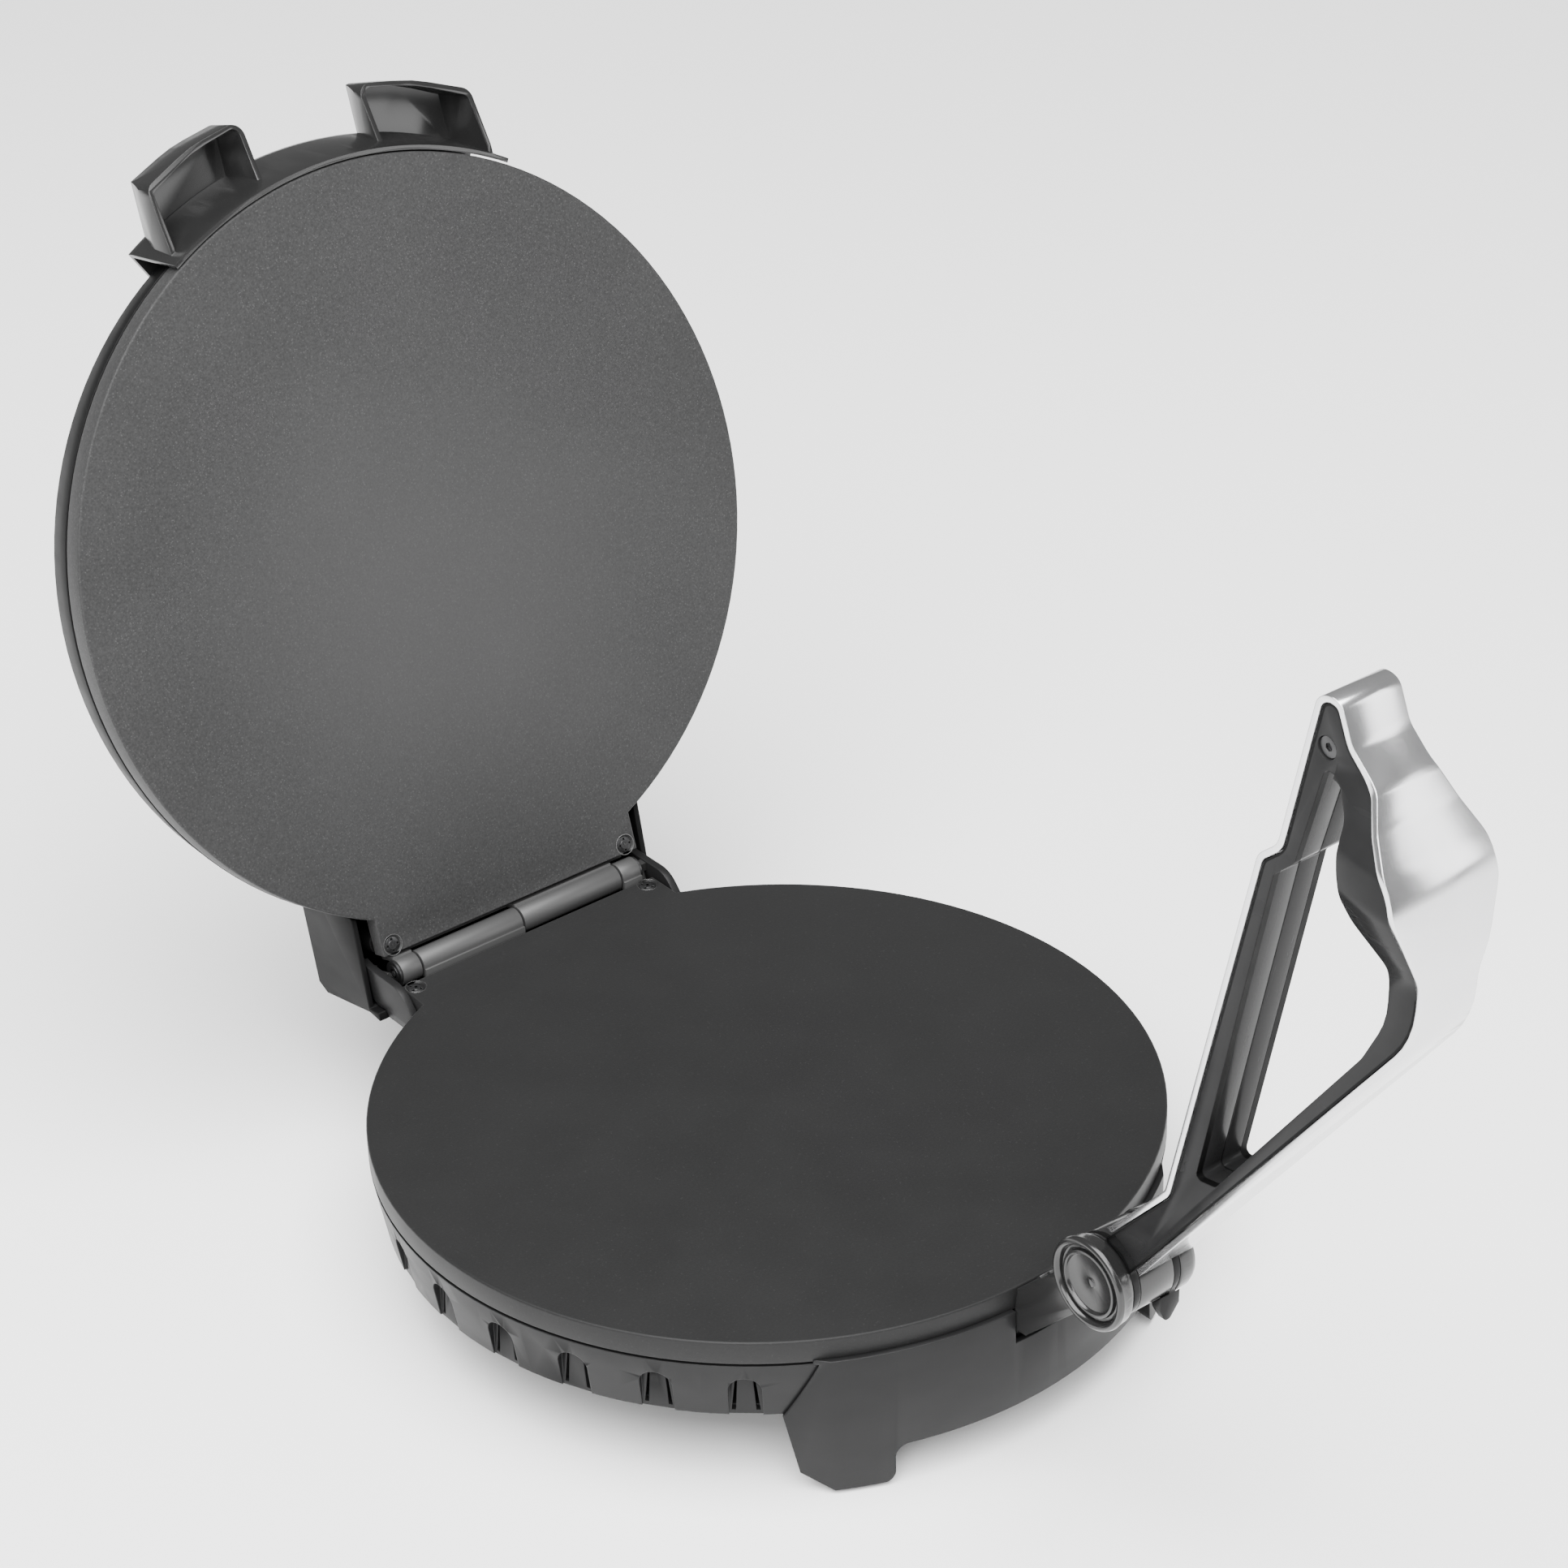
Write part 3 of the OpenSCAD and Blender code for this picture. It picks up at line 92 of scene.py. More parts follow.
class Graph:
    """A material's node tree with short calls for adding and joining nodes."""

    corner_samples = 6
    # Agreement of the flat and the rounded normal where a corner's mask starts and where it is full
    corner_gate = (0.995, 0.85)

    def __init__(self, name: str) -> None:
        """Starts a material that holds one principled shader.

        Args:
            name: the material's name.
        """
        self.material = bpy.data.materials.new(name)
        self.material.use_nodes = True
        self.tree = self.material.node_tree
        self.tree.nodes.clear()
        self.out = self.tree.nodes.new("ShaderNodeOutputMaterial")
        self.shader = self.tree.nodes.new("ShaderNodeBsdfPrincipled")
        self.join(self.shader.outputs["BSDF"], self.out.inputs["Surface"])
        self.place = self.tree.nodes.new("ShaderNodeTexCoord").outputs["Object"]

    def join(self, a: bpy.types.NodeSocket, b: bpy.types.NodeSocket) -> None:
        """Links an output to an input.

        Args:
            a: the output.
            b: the input.
        """
        self.tree.links.new(a, b)

    def add(self, kind: str, feeds: dict[Any, Any], **settings: Any) -> bpy.types.Node:
        """Adds a node.

        Args:
            kind: the node's type name.
            feeds: input name or number to a value, or to a socket that feeds it.
            settings: properties of the node.

        Returns:
            The new node.
        """
        node = self.tree.nodes.new(kind)
        for key, value in settings.items():
            setattr(node, key, value)
        for key, value in feeds.items():
            if isinstance(value, bpy.types.NodeSocket):
                self.join(value, node.inputs[key])
            else:
                node.inputs[key].default_value = value
        return node

    def noise(self, size: float, detail: float = 3.0, stretch: Triple = (1, 1, 1)) -> Any:
        """Noise whose features are about size metres across.

        Args:
            size: the feature size in metres.
            detail: octaves.
            stretch: how the pattern is drawn out along each axis.

        Returns:
            The noise's value socket.
        """
        spot = self.add("ShaderNodeMapping", {"Vector": self.place, "Scale": stretch}).outputs[0]
        feeds = {"Vector": spot, "Scale": 1 / size, "Detail": detail}
        return self.add("ShaderNodeTexNoise", feeds).outputs[0]

    def span(self, value: Any, low: float, high: float, to_low: float = 0.0,
             to_high: float = 1.0, how: str = "LINEAR") -> Any:
        """Maps low..high onto to_low..to_high, clamped.

        Args:
            value: the socket that is mapped.
            low: where the range starts.
            high: where it ends.
            to_low: what low becomes.
            to_high: what high becomes.
            how: the way between them.

        Returns:
            The mapped socket.
        """
        feeds = {"Value": value, "From Min": low, "From Max": high,
                 "To Min": to_low, "To Max": to_high}
        return self.add("ShaderNodeMapRange", feeds, interpolation_type=how).outputs[0]

    def mix(self, factor: Any, a: Any, b: Any) -> Any:
        """Mixes two colours.

        Args:
            factor: 0 gives a and 1 gives b.
            a: a colour or a socket.
            b: a colour or a socket.

        Returns:
            The mixed colour socket.
        """
        node = self.add("ShaderNodeMix", {0: factor}, data_type="RGBA")
        for index, value in ((6, a), (7, b)):
            if isinstance(value, bpy.types.NodeSocket):
                self.join(value, node.inputs[index])
            else:
                node.inputs[index].default_value = (*value, 1)
        return node.outputs[2]

    def sum(self, a: Any, b: Any, how: str = "ADD") -> Any:
        """Joins two numbers with a maths node.

        Args:
            a: a number or a socket.
            b: a number or a socket.
            how: the node's operation.

        Returns:
            The result's socket.
        """
        return self.add("ShaderNodeMath", {0: a, 1: b}, operation=how).outputs[0]

    def bump(self, height: Any, depth: float, strength: float = 1.0, under: Any = None) -> Any:
        """Raises the surface by a height socket.

        Args:
            height: 0 to 1.
            depth: the relief's real depth in metres.
            strength: how much of it shows.
            under: the normal it is laid on.

        Returns:
            The new normal socket.
        """
        feeds = {"Height": height, "Distance": depth, "Strength": strength}
        if under is not None:
            feeds["Normal"] = under
        return self.add("ShaderNodeBump", feeds).outputs[0]

    def edges(self, radius: float) -> tuple[Any, Any]:
        """Rounded corners.

        Args:
            radius: the corner's radius in metres.

        Returns:
            The rounded normal, and a mask that is 1 on the corners.
        """
        soft = self.add("ShaderNodeBevel", {"Radius": radius}, samples=self.corner_samples)
        flat = self.add("ShaderNodeNewGeometry", {})
        feeds = {0: soft.outputs[0], 1: flat.outputs["Normal"]}
        facing = self.add("ShaderNodeVectorMath", feeds, operation="DOT_PRODUCT")
        return soft.outputs[0], self.span(facing.outputs["Value"], *self.corner_gate)


@dataclass(frozen=True)
class Finish:
    """A surface with a colour, a gloss and rounded corners, whose corners are painted lighter as a
    painted highlight.

    A subclass adds the detail of its own kind of surface. Sizes and depths are in metres.
    """

    name: str
    slot: str
    tint: Colour
    roughness: float
    metallic: float = 0.0
    corner: float = 0.5 * MM
    # How much lighter the corners are painted: a painted highlight along the edges.
    edge_highlight: float = 0.25
    edge_highlight_gain: float = 1.5
    edge_highlight_lift: float = 0.02
    specular: float = 0.5

    def material(self) -> bpy.types.Material:
        """The finish's material, made once.

        Returns:
            The material.
        """
        known = bpy.data.materials.get(self.name)
        return known or self.make()

    def make(self) -> bpy.types.Material:
        """Builds the nodes.

        Returns:
            The new material.
        """
        graph = Graph(self.name)
        soft, edge = graph.edges(self.corner)
        colour, rough, normal = self.detail(graph, soft)
        # Painted highlight: the colour is lightened on the rounded corners.
        lighter = tuple(min(1.0, c * self.edge_highlight_gain + self.edge_highlight_lift) for c in self.tint)
        colour = graph.mix(graph.sum(edge, self.edge_highlight, "MULTIPLY"), colour, lighter)
        graph.join(colour, graph.shader.inputs["Base Color"])
        graph.join(rough, graph.shader.inputs["Roughness"])
        graph.join(normal, graph.shader.inputs["Normal"])
        graph.shader.inputs["Metallic"].default_value = self.metallic
        self.gloss(graph.shader)
        graph.material.diffuse_color = (*self.tint, 1)
        return graph.material

    def detail(self, graph: Graph, soft: Any) -> tuple[Any, Any, Any]:
        """Colour, roughness and normal sockets of the surface.

        Args:
            graph: the material's graph.
            soft: the rounded normal.

        Returns:
            The three sockets.
        """
        raise NotImplementedError

    def gloss(self, shader: bpy.types.Node) -> None:
        """Sets whole-surface numbers on the shader.

        Args:
            shader: the principled shader.
        """
        shader.inputs["Specular IOR Level"].default_value = self.specular

    def shade(self, factor: float) -> Colour:
        """The tint made darker or lighter.

        Args:
            factor: what its parts are multiplied by.

        Returns:
            The new colour.
        """
        return tuple(min(1.0, c * factor) for c in self.tint)


@dataclass(frozen=True)
class NonStickCoat(Finish):
    """Sprayed non-stick coating: fine orange peel, tiny mineral flecks and a soft sheen."""

    fleck: Colour = (0.4, 0.4, 0.4)
    fleck_share: float = 0.35
    fleck_gate: Pair = (0.55, 0.66)
    fleck_size: float = 1.1 * MM
    fleck_deep: float = 0.02 * MM
    patch_size: float = 1.6 * MM
    grain: float = 0.16
    grain_size: float = 0.9 * MM
    drift_size: float = 0.07
    dull_size: float = 0.03
    dull_change: float = 0.04
    peel_size: float = 0.8 * MM
    peel_deep: float = 0.03 * MM
    sheen: float = 0.03
    sheen_roughness: float = 0.6
    # Painted highlight: a soft lighter patch round one point of the coat.
    haze_and_painted_highlight: float = 0.0
    painted_highlight_gain: float = 2.0
    painted_highlight_at: Triple = (0.0, 0.0, 0.0)
    painted_highlight_reach: float = 0.16

    def detail(self, graph: Graph, soft: Any) -> tuple[Any, Any, Any]:
        """Adds flecks, peel and a painted highlight: a broad lighter patch round one point of the
        coat.

        Args:
            graph: the material's graph.
            soft: the rounded normal.

        Returns:
            Colour, roughness and normal sockets.
        """
        grain = graph.noise(self.grain_size, 4.0)
        cells = graph.add("ShaderNodeTexVoronoi",
                          {"Vector": graph.place, "Scale": 1 / self.fleck_size})
        spot = graph.span(cells.outputs["Distance"], 0.34, 0.16)
        picked = graph.span(graph.noise(self.patch_size, 1.0), *self.fleck_gate)
        fleck = graph.sum(graph.sum(spot, picked, "MULTIPLY"), self.fleck_share, "MULTIPLY")
        drift = graph.noise(self.drift_size, 2.0)
        tone = graph.sum(graph.span(grain, 0.35, 0.65, 0.0, 0.7),
                         graph.span(drift, 0.3, 0.7, 0.0, 0.3))
        colour = graph.mix(tone, self.shade(1 - self.grain), self.shade(1 + self.grain))
        colour = graph.mix(fleck, colour, self.fleck)
        # Painted highlight: the colour is lightened near one point.
        if self.haze_and_painted_highlight:
            off = graph.add("ShaderNodeVectorMath", {0: graph.place, 1: self.painted_highlight_at},
                            operation="DISTANCE").outputs["Value"]
            painted_highlight_mask = graph.span(off, self.painted_highlight_reach, 0.0, 0.0, self.haze_and_painted_highlight, "SMOOTHERSTEP")
            colour = graph.mix(painted_highlight_mask, colour, self.shade(self.painted_highlight_gain))
        rough = graph.span(graph.noise(self.dull_size, 2.0), 0.3, 0.7,
                           self.roughness - self.dull_change, self.roughness + self.dull_change)
        peel = graph.bump(graph.noise(self.peel_size, 3.0), self.peel_deep, 0.5, soft)
        return colour, rough, graph.bump(spot, self.fleck_deep, 0.35, peel)

    def gloss(self, shader: bpy.types.Node) -> None:
        """A faint sheen, as the coating has at a low angle.

        Args:
            shader: the principled shader.
        """
        super().gloss(shader)
        shader.inputs["Sheen Weight"].default_value = self.sheen
        shader.inputs["Sheen Roughness"].default_value = self.sheen_roughness


@dataclass(frozen=True)
class TexturedPlastic(Finish):
    """Moulded plastic with a fine spark-eroded texture and faint flow marks."""

    pit_size: float = 0.45 * MM
    pit_deep: float = 0.05 * MM
    flow_size: float = 0.035
    flow_stretch: Triple = (1, 1, 3)

    def detail(self, graph: Graph, soft: Any) -> tuple[Any, Any, Any]:
        """Adds pits, with painted shade in their low points, and flow marks.

        Args:
            graph: the material's graph.
            soft: the rounded normal.

        Returns:
            Colour, roughness and normal sockets.
        """
        pits = graph.noise(self.pit_size, 2.0)
        flow = graph.noise(self.flow_size, 4.0, self.flow_stretch)
        colour = graph.mix(graph.span(flow, 0.3, 0.7), self.shade(0.92), self.shade(1.08))
        # Painted shade: the colour is darker in the low points of the pits.
        colour = graph.mix(graph.span(pits, 0.6, 0.35, 0, 0.25), colour, self.shade(0.7))
        rough = graph.span(flow, 0.3, 0.7, self.roughness + 0.03, self.roughness - 0.05)
        return colour, rough, graph.bump(pits, self.pit_deep, 0.35, soft)


@dataclass(frozen=True)
class PolishedPlastic(Finish):
    """High gloss moulding with finger haze, hairlines and a slightly uneven skin."""

    coat: float = 0.6
    coat_roughness: float = 0.06
    haze_size: float = 0.014
    hair_size: float = 0.0012
    hair_stretch: Triple = (1, 0.04, 0.06)
    hair_dull: float = 0.12
    wave_size: float = 0.02
    wave_deep: float = 0.12 * MM

    def detail(self, graph: Graph, soft: Any) -> tuple[Any, Any, Any]:
        """Adds haze, hairlines and long waves.

        Args:
            graph: the material's graph.
            soft: the rounded normal.

        Returns:
            Colour, roughness and normal sockets.
        """
        haze_and_painted_highlight = graph.noise(self.haze_size, 5.0)
        lines = graph.noise(self.hair_size, 2.0, self.hair_stretch)
        hair = graph.span(lines, 0.68, 0.74)
        colour = graph.mix(graph.span(haze_and_painted_highlight, 0.35, 0.75, 0, 0.5), self.tint, self.shade(1.5))
        smear = graph.span(haze_and_painted_highlight, 0.45, 0.8, self.roughness, self.roughness + 0.1)
        rough = graph.sum(smear, graph.sum(hair, self.hair_dull, "MULTIPLY"))
        wave = graph.bump(graph.noise(self.wave_size, 1.0), self.wave_deep, 0.25, soft)
        return colour, rough, wave

    def gloss(self, shader: bpy.types.Node) -> None:
        """A clear top skin.

        Args:
            shader: the principled shader.
        """
        super().gloss(shader)
        shader.inputs["Coat Weight"].default_value = self.coat
        shader.inputs["Coat Roughness"].default_value = self.coat_roughness


@dataclass(frozen=True)
class SilverLacquer(Finish):
    """Silver lacquer: fine metallic flake under a clear coat, with light rubbing."""

    coat: float = 0.5
    coat_roughness: float = 0.12
    flake_size: float = 0.25 * MM
    flake_deep: float = 0.004 * MM
    rub_size: float = 0.02
    rub_stretch: Triple = (1, 0.5, 0.5)
    wave_size: float = 0.03
    wave_deep: float = 0.15 * MM

    def detail(self, graph: Graph, soft: Any) -> tuple[Any, Any, Any]:
        """Adds flake and rubbing.

        Args:
            graph: the material's graph.
            soft: the rounded normal.

        Returns:
            Colour, roughness and normal sockets.
        """
        cells = graph.add("ShaderNodeTexVoronoi",
                          {"Vector": graph.place, "Scale": 1 / self.flake_size})
        flake = graph.add("ShaderNodeSeparateColor", {"Color": cells.outputs["Color"]}).outputs[0]
        rub = graph.noise(self.rub_size, 4.0, self.rub_stretch)
        colour = graph.mix(graph.span(flake, 0, 1), self.shade(0.95), self.shade(1.04))
        rough = graph.span(rub, 0.35, 0.7, self.roughness - 0.04, self.roughness + 0.07)
        wave = graph.bump(graph.noise(self.wave_size, 1.0), self.wave_deep, 0.2, soft)
        return colour, rough, graph.bump(flake, self.flake_deep, 0.25, wave)

    def gloss(self, shader: bpy.types.Node) -> None:
        """The clear coat over the flake.

        Args:
            shader: the principled shader.
        """
        super().gloss(shader)
        shader.inputs["Coat Weight"].default_value = self.coat
        shader.inputs["Coat Roughness"].default_value = self.coat_roughness


@dataclass(frozen=True)
class TurnedSteel(Finish):
    """Bare steel with drawn or turned lines and dull spots."""

    lay: Triple = (0.05, 1, 1)
    line_size: float = 0.0004
    line_deep: float = 0.01 * MM
    spot_size: float = 0.004
    spot_dark: float = 0.72

    def detail(self, graph: Graph, soft: Any) -> tuple[Any, Any, Any]:
        """Adds tool lines and dull spots.

        Args:
            graph: the material's graph.
            soft: the rounded normal.

        Returns:
            Colour, roughness and normal sockets.
        """
        lines = graph.noise(self.line_size, 3.0, self.lay)
        spots = graph.noise(self.spot_size, 4.0)
        colour = graph.mix(graph.span(spots, 0.4, 0.75), self.tint, self.shade(self.spot_dark))
        drawn = graph.span(lines, 0.3, 0.7, self.roughness - 0.06, self.roughness + 0.1)
        rough = graph.sum(drawn, graph.span(spots, 0.5, 0.8, 0, 0.15))
        return colour, rough, graph.bump(lines, self.line_deep, 0.5, soft)


class Shop:
    """Every finish of the machine."""

    # The two plates carry one coating. The lower plate's darker tint and the upper plate's lighter
    # tint and flecks are painted shade and painted light, and the upper plate's soft bright patch
    # is a painted highlight.
    lower_coat = NonStickCoat(
        "coat_lower", "lower_coating", (0.0065, 0.0065, 0.0066), 0.5, corner=0.7 * MM, edge_highlight=0.35,
        specular=0.2, fleck=(0.028, 0.028, 0.028), fleck_share=0.3)
    upper_coat = NonStickCoat(
        "coat_upper", "upper_coating", (0.0205, 0.0205, 0.0207), 0.55, corner=0.7 * MM, edge_highlight=0.1,
        specular=0.22, fleck=(0.055, 0.055, 0.055), fleck_share=0.6, fleck_gate=(0.38, 0.58),
        grain=0.34, haze_and_painted_highlight=0.5, painted_highlight_at=(0.0, 0.196, 0.125))
    housing = TexturedPlastic(
        "housing_charcoal", "housing", (0.009, 0.009, 0.0092), 0.42, corner=0.6 * MM, specular=0.17)
    # Same charcoal moulding as the housing; its darker tint is painted shade.
    lid_shell = TexturedPlastic(
        "lid_charcoal", "housing", (0.005, 0.005, 0.0051), 0.45, corner=0.8 * MM, specular=0.06)
    gloss_black = PolishedPlastic(
        "gloss_black", "gloss_black", (0.002, 0.002, 0.002), 0.13, corner=0.6 * MM,
        specular=0.09, coat=0.03)
    inlay = PolishedPlastic(
        "inlay_grey", "inlay", (0.013, 0.013, 0.0132), 0.2, corner=0.5 * MM,
        specular=0.06, coat=0.0)
    silver = SilverLacquer(
        "silver_lacquer", "silver", (0.68, 0.68, 0.69), 0.2, metallic=0.95, corner=0.5 * MM,
        edge_highlight=0.1)
    hinge_paint = PolishedPlastic(
        "hinge_paint", "hinge_paint", (0.012, 0.012, 0.0122), 0.3, corner=0.4 * MM,
        specular=0.3, coat=0.1)
    # Near-black strips: painted shade in grooves and recesses, and a dark seam line.
    shadow_gap = TexturedPlastic(
        "shadow_gap", "gloss_black", (0.0015, 0.0015, 0.0015), 0.6, corner=0.1 * MM, specular=0.1)
    steel = TurnedSteel("steel", "steel", (0.55, 0.55, 0.56), 0.3, metallic=1.0, corner=0.2 * MM)
    bare_rim = TurnedSteel(
        "bare_rim", "steel", (0.18, 0.18, 0.18), 0.35, metallic=1.0, corner=0.1 * MM)
    dark_screw = TurnedSteel(
        "blackened_screw", "steel", (0.055, 0.055, 0.056), 0.36, metallic=0.9, corner=0.2 * MM)
    rubber = TexturedPlastic("rubber", "rubber", (0.018, 0.018, 0.018), 0.75, corner=0.5 * MM)
    ceramic = TexturedPlastic(
        "heatproof_white", "ceramic", (0.72, 0.70, 0.64), 0.55, corner=0.3 * MM)
    lead = TexturedPlastic("sleeved_lead", "lead", (0.012, 0.012, 0.012), 0.55, corner=0.2 * MM)


# ---------------------------------------------------------------- shop tools


def dress(piece: bpy.types.Object, finish: Finish) -> None:
    """Gives every face of a piece one finish.

    Args:
        piece: the mesh object.
        finish: what it is made of.
    """
    piece.data.materials.clear()
    piece.data.materials.append(finish.material())
    for face in piece.data.polygons:
        face.material_index = 0


def settle(piece: bpy.types.Object, body: Body, finish: Finish,
           stands_for: Sequence[str] = ()) -> None:
    """Dresses a new piece and hands it to the frame.

    Args:
        piece: the mesh object, in place.
        body: what it rides on.
        finish: what it is made of.
        stands_for: the CAD nodes it replaces.
    """
    dress(piece, finish)
    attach(piece, body.value)
    if stands_for:
        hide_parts(*stands_for)
    LOG.info("piece %s rides on %s", piece.name, body.value)


def smooth(piece: bpy.types.Object, angle: float = SHARP_ANGLE) -> None:
    """Shades a piece smooth except over its sharp edges.

    Args:
        piece: the mesh object.
        angle: the least angle of a sharp edge, in degrees.
    """
    mesh = piece.data
    mesh.polygons.foreach_set("use_smooth", [True] * len(mesh.polygons))
    bm = bmesh.new()
    bm.from_mesh(mesh)
    for edge in bm.edges:
        edge.smooth = len(edge.link_faces) == 2 and edge.calc_face_angle(0.0) < math.radians(angle)
    bm.to_mesh(mesh)
    bm.free()


def to_object(bm: bmesh.types.BMesh, name: str) -> bpy.types.Object:
    """Turns a bmesh into a linked object and frees it.

    Args:
        bm: the mesh.
        name: the new object's name.

    Returns:
        The object.
    """
    mesh = bpy.data.meshes.new(name)
    bm.to_mesh(mesh)
    bm.free()
    piece = bpy.data.objects.new(name, mesh)
    bpy.context.scene.collection.objects.link(piece)
    return piece


def baked(piece: bpy.types.Object) -> None:
    """Applies a piece's modifiers, so that plain mesh is left.

    Args:
        piece: the mesh object.
    """
    graph = bpy.context.evaluated_depsgraph_get()
    mesh = bpy.data.meshes.new_from_object(piece.evaluated_get(graph))
    old = piece.data
    piece.modifiers.clear()
    piece.data = mesh
    bpy.data.meshes.remove(old)


def carve(piece: bpy.types.Object, cutter: bpy.types.Object) -> None:
    """Cuts one mesh out of another and throws the cutter away.

    Args:
        piece: what is cut.
        cutter: what is cut out of it.
    """
    cut = piece.modifiers.new("carve", "BOOLEAN")
    cut.object = cutter
    cut.operation = "DIFFERENCE"
    cut.solver = "EXACT"
    cut.use_self = True
    baked(piece)
    bpy.data.objects.remove(cutter)


def slice_loops(frame: dict[str, Any], node: str, x: float) -> list[list[Vector]]:
    """Outlines of a CAD node, sliced across X.

    Args:
        node: the CAD node.
        x: where the slice is, in metres.

    Returns:
        Closed loops of points, the longest first.
    """
    bm = bmesh.new()
    bm.from_mesh(frame["nodes"][node].data)
    bmesh.ops.remove_doubles(bm, verts=bm.verts, dist=WELD)
    whole = [*bm.verts, *bm.edges, *bm.faces]
    cut = bmesh.ops.bisect_plane(
        bm, geom=whole, plane_co=(x, 0, 0), plane_no=(1, 0, 0))["geom_cut"]
    left = dict.fromkeys(edge for edge in cut if isinstance(edge, bmesh.types.BMEdge))
    found = []
    while left:
        edge, _ = left.popitem()
        here, ring = edge.verts[1], [edge.verts[0].co.copy()]
        while True:
            ring.append(here.co.copy())
            more = [e for e in here.link_edges if e in left]
            if not more:
                break
            del left[more[0]]
            here = more[0].other_vert(here)
        found.append(ring)
    bm.free()
    return sorted(found, key=lambda ring: -sum((a - b).length for a, b in zip(ring, ring[1:])))


def wall_inside(ring: list[Vector], side: int, hole: bool) -> list[Vector]:
    """Runs an outline so that beading's inner side is the node's wall.

    Args:
        ring: the outline.
        side: which way the strip's face looks along X.
        hole: whether the outline is a hole's.

    Returns:
        The outline, turned round if need be.
    """
    turning = sum(a.y * b.z - b.y * a.z for a, b in zip(ring, ring[1:] + ring[:1]))
    return ring[::-1] if (turning * side > 0) == hole else ring


def beading(name: str, ring: Sequence[Vector], side: int, x: Pair, out: Pair) -> bpy.types.Object:
    """A thin closed strip that follows an outline.

    Args:
        name: the new piece's name.
        ring: the outline, in metres, as wall_inside gives it.
        side: which way the outline's face looks along X.
        x: the strip's two planes across the machine, in metres.
        out: how far the strip's edges lie from the outline towards the face's inside, in metres.

    Returns:
        The strip.
    """
    least_step, least_cosine, longest_mitre = 0.05 * MM, 0.3, 1.6
    spaced = [p for i, p in enumerate(ring) if (p - ring[i - 1]).length > least_step]
    bm = bmesh.new()
    rings = []
    for i, point in enumerate(spaced):
        before, later = spaced[i - 1], spaced[(i + 1) % len(spaced)]
        a, b = (point - before).normalized(), (later - point).normalized()
        left = [Vector((0, -d.z, d.y)) * side for d in (a, b)]
        mean = (left[0] + left[1]).normalized()
        reach = min(longest_mitre, 1 / max(least_cosine, mean.dot(left[0])))
        corners = ((x[0], out[0]), (x[1], out[0]), (x[1], out[1]), (x[0], out[1]))
        places = [(cx, point.y + mean.y * off * reach, point.z + mean.z * off * reach)
                  for cx, off in corners]
        rings.append([bm.verts.new(place) for place in places])
    for i, ring_a in enumerate(rings):
        ring_b = rings[(i + 1) % len(rings)]
        for k in range(4):
            bm.faces.new((ring_a[k], ring_a[(k + 1) % 4], ring_b[(k + 1) % 4], ring_b[k]))
    bmesh.ops.recalc_face_normals(bm, faces=bm.faces)
    piece = to_object(bm, name)
    smooth(piece)
    return piece


def soften(frame: dict[str, Any], node: str, width: float, steps: int = 2,
           cutter: Optional[bpy.types.Object] = None) -> bpy.types.Object:
    """Copies a CAD node with its corners rounded.

    Args:
        node: the CAD node.
        width: the rounding's width in metres.
        steps: segments round a corner.
        cutter: what is cut out of the copy before its corners are rounded.

    Returns:
        The rounded copy.
    """
    bm = bmesh.new()
    bm.from_mesh(frame["nodes"][node].data)
    bmesh.ops.remove_doubles(bm, verts=bm.verts, dist=WELD)
    bmesh.ops.dissolve_degenerate(bm, edges=bm.edges, dist=WELD)
    bmesh.ops.dissolve_limit(
        bm, angle_limit=math.radians(FLAT_ANGLE), verts=bm.verts, edges=bm.edges)
    piece = to_object(bm, f"{node}_finished")
    if cutter:
        carve(piece, cutter)
    bevel = piece.modifiers.new("corners", "BEVEL")
    bevel.width = width
    bevel.segments = steps
    bevel.limit_method = "ANGLE"
    bevel.angle_limit = math.radians(ROUNDED_ANGLE)
    bevel.use_clamp_overlap = True
    baked(piece)
    smooth(piece)
    return piece


def lathe(profile: Sequence[Pair], steps: int = 48, closed: bool = False) -> bmesh.types.BMesh:
    """Spins a profile of (radius, height) in millimetres about Z.

    Args:
        profile: the points, from the axis to the axis unless it is closed.
        steps: faces round the axis.
        closed: whether the last point is joined to the first one.

    Returns:
        The turned mesh in metres.
    """
    bm = bmesh.new()
    verts = [bm.verts.new((r * MM, 0, z * MM)) for r, z in profile]
    later = verts[1:] + verts[:1] if closed else verts[1:]
    edges = [bm.edges.new(pair) for pair in zip(verts, later)]
    bmesh.ops.spin(
        bm, geom=verts + edges, cent=(0, 0, 0), axis=(0, 0, 1), angle=math.tau, steps=steps)
    bmesh.ops.remove_doubles(bm, verts=bm.verts, dist=SPUN_WELD)
    bmesh.ops.recalc_face_normals(bm, faces=bm.faces)
    return bm


# ---------------------------------------------------------------- screws


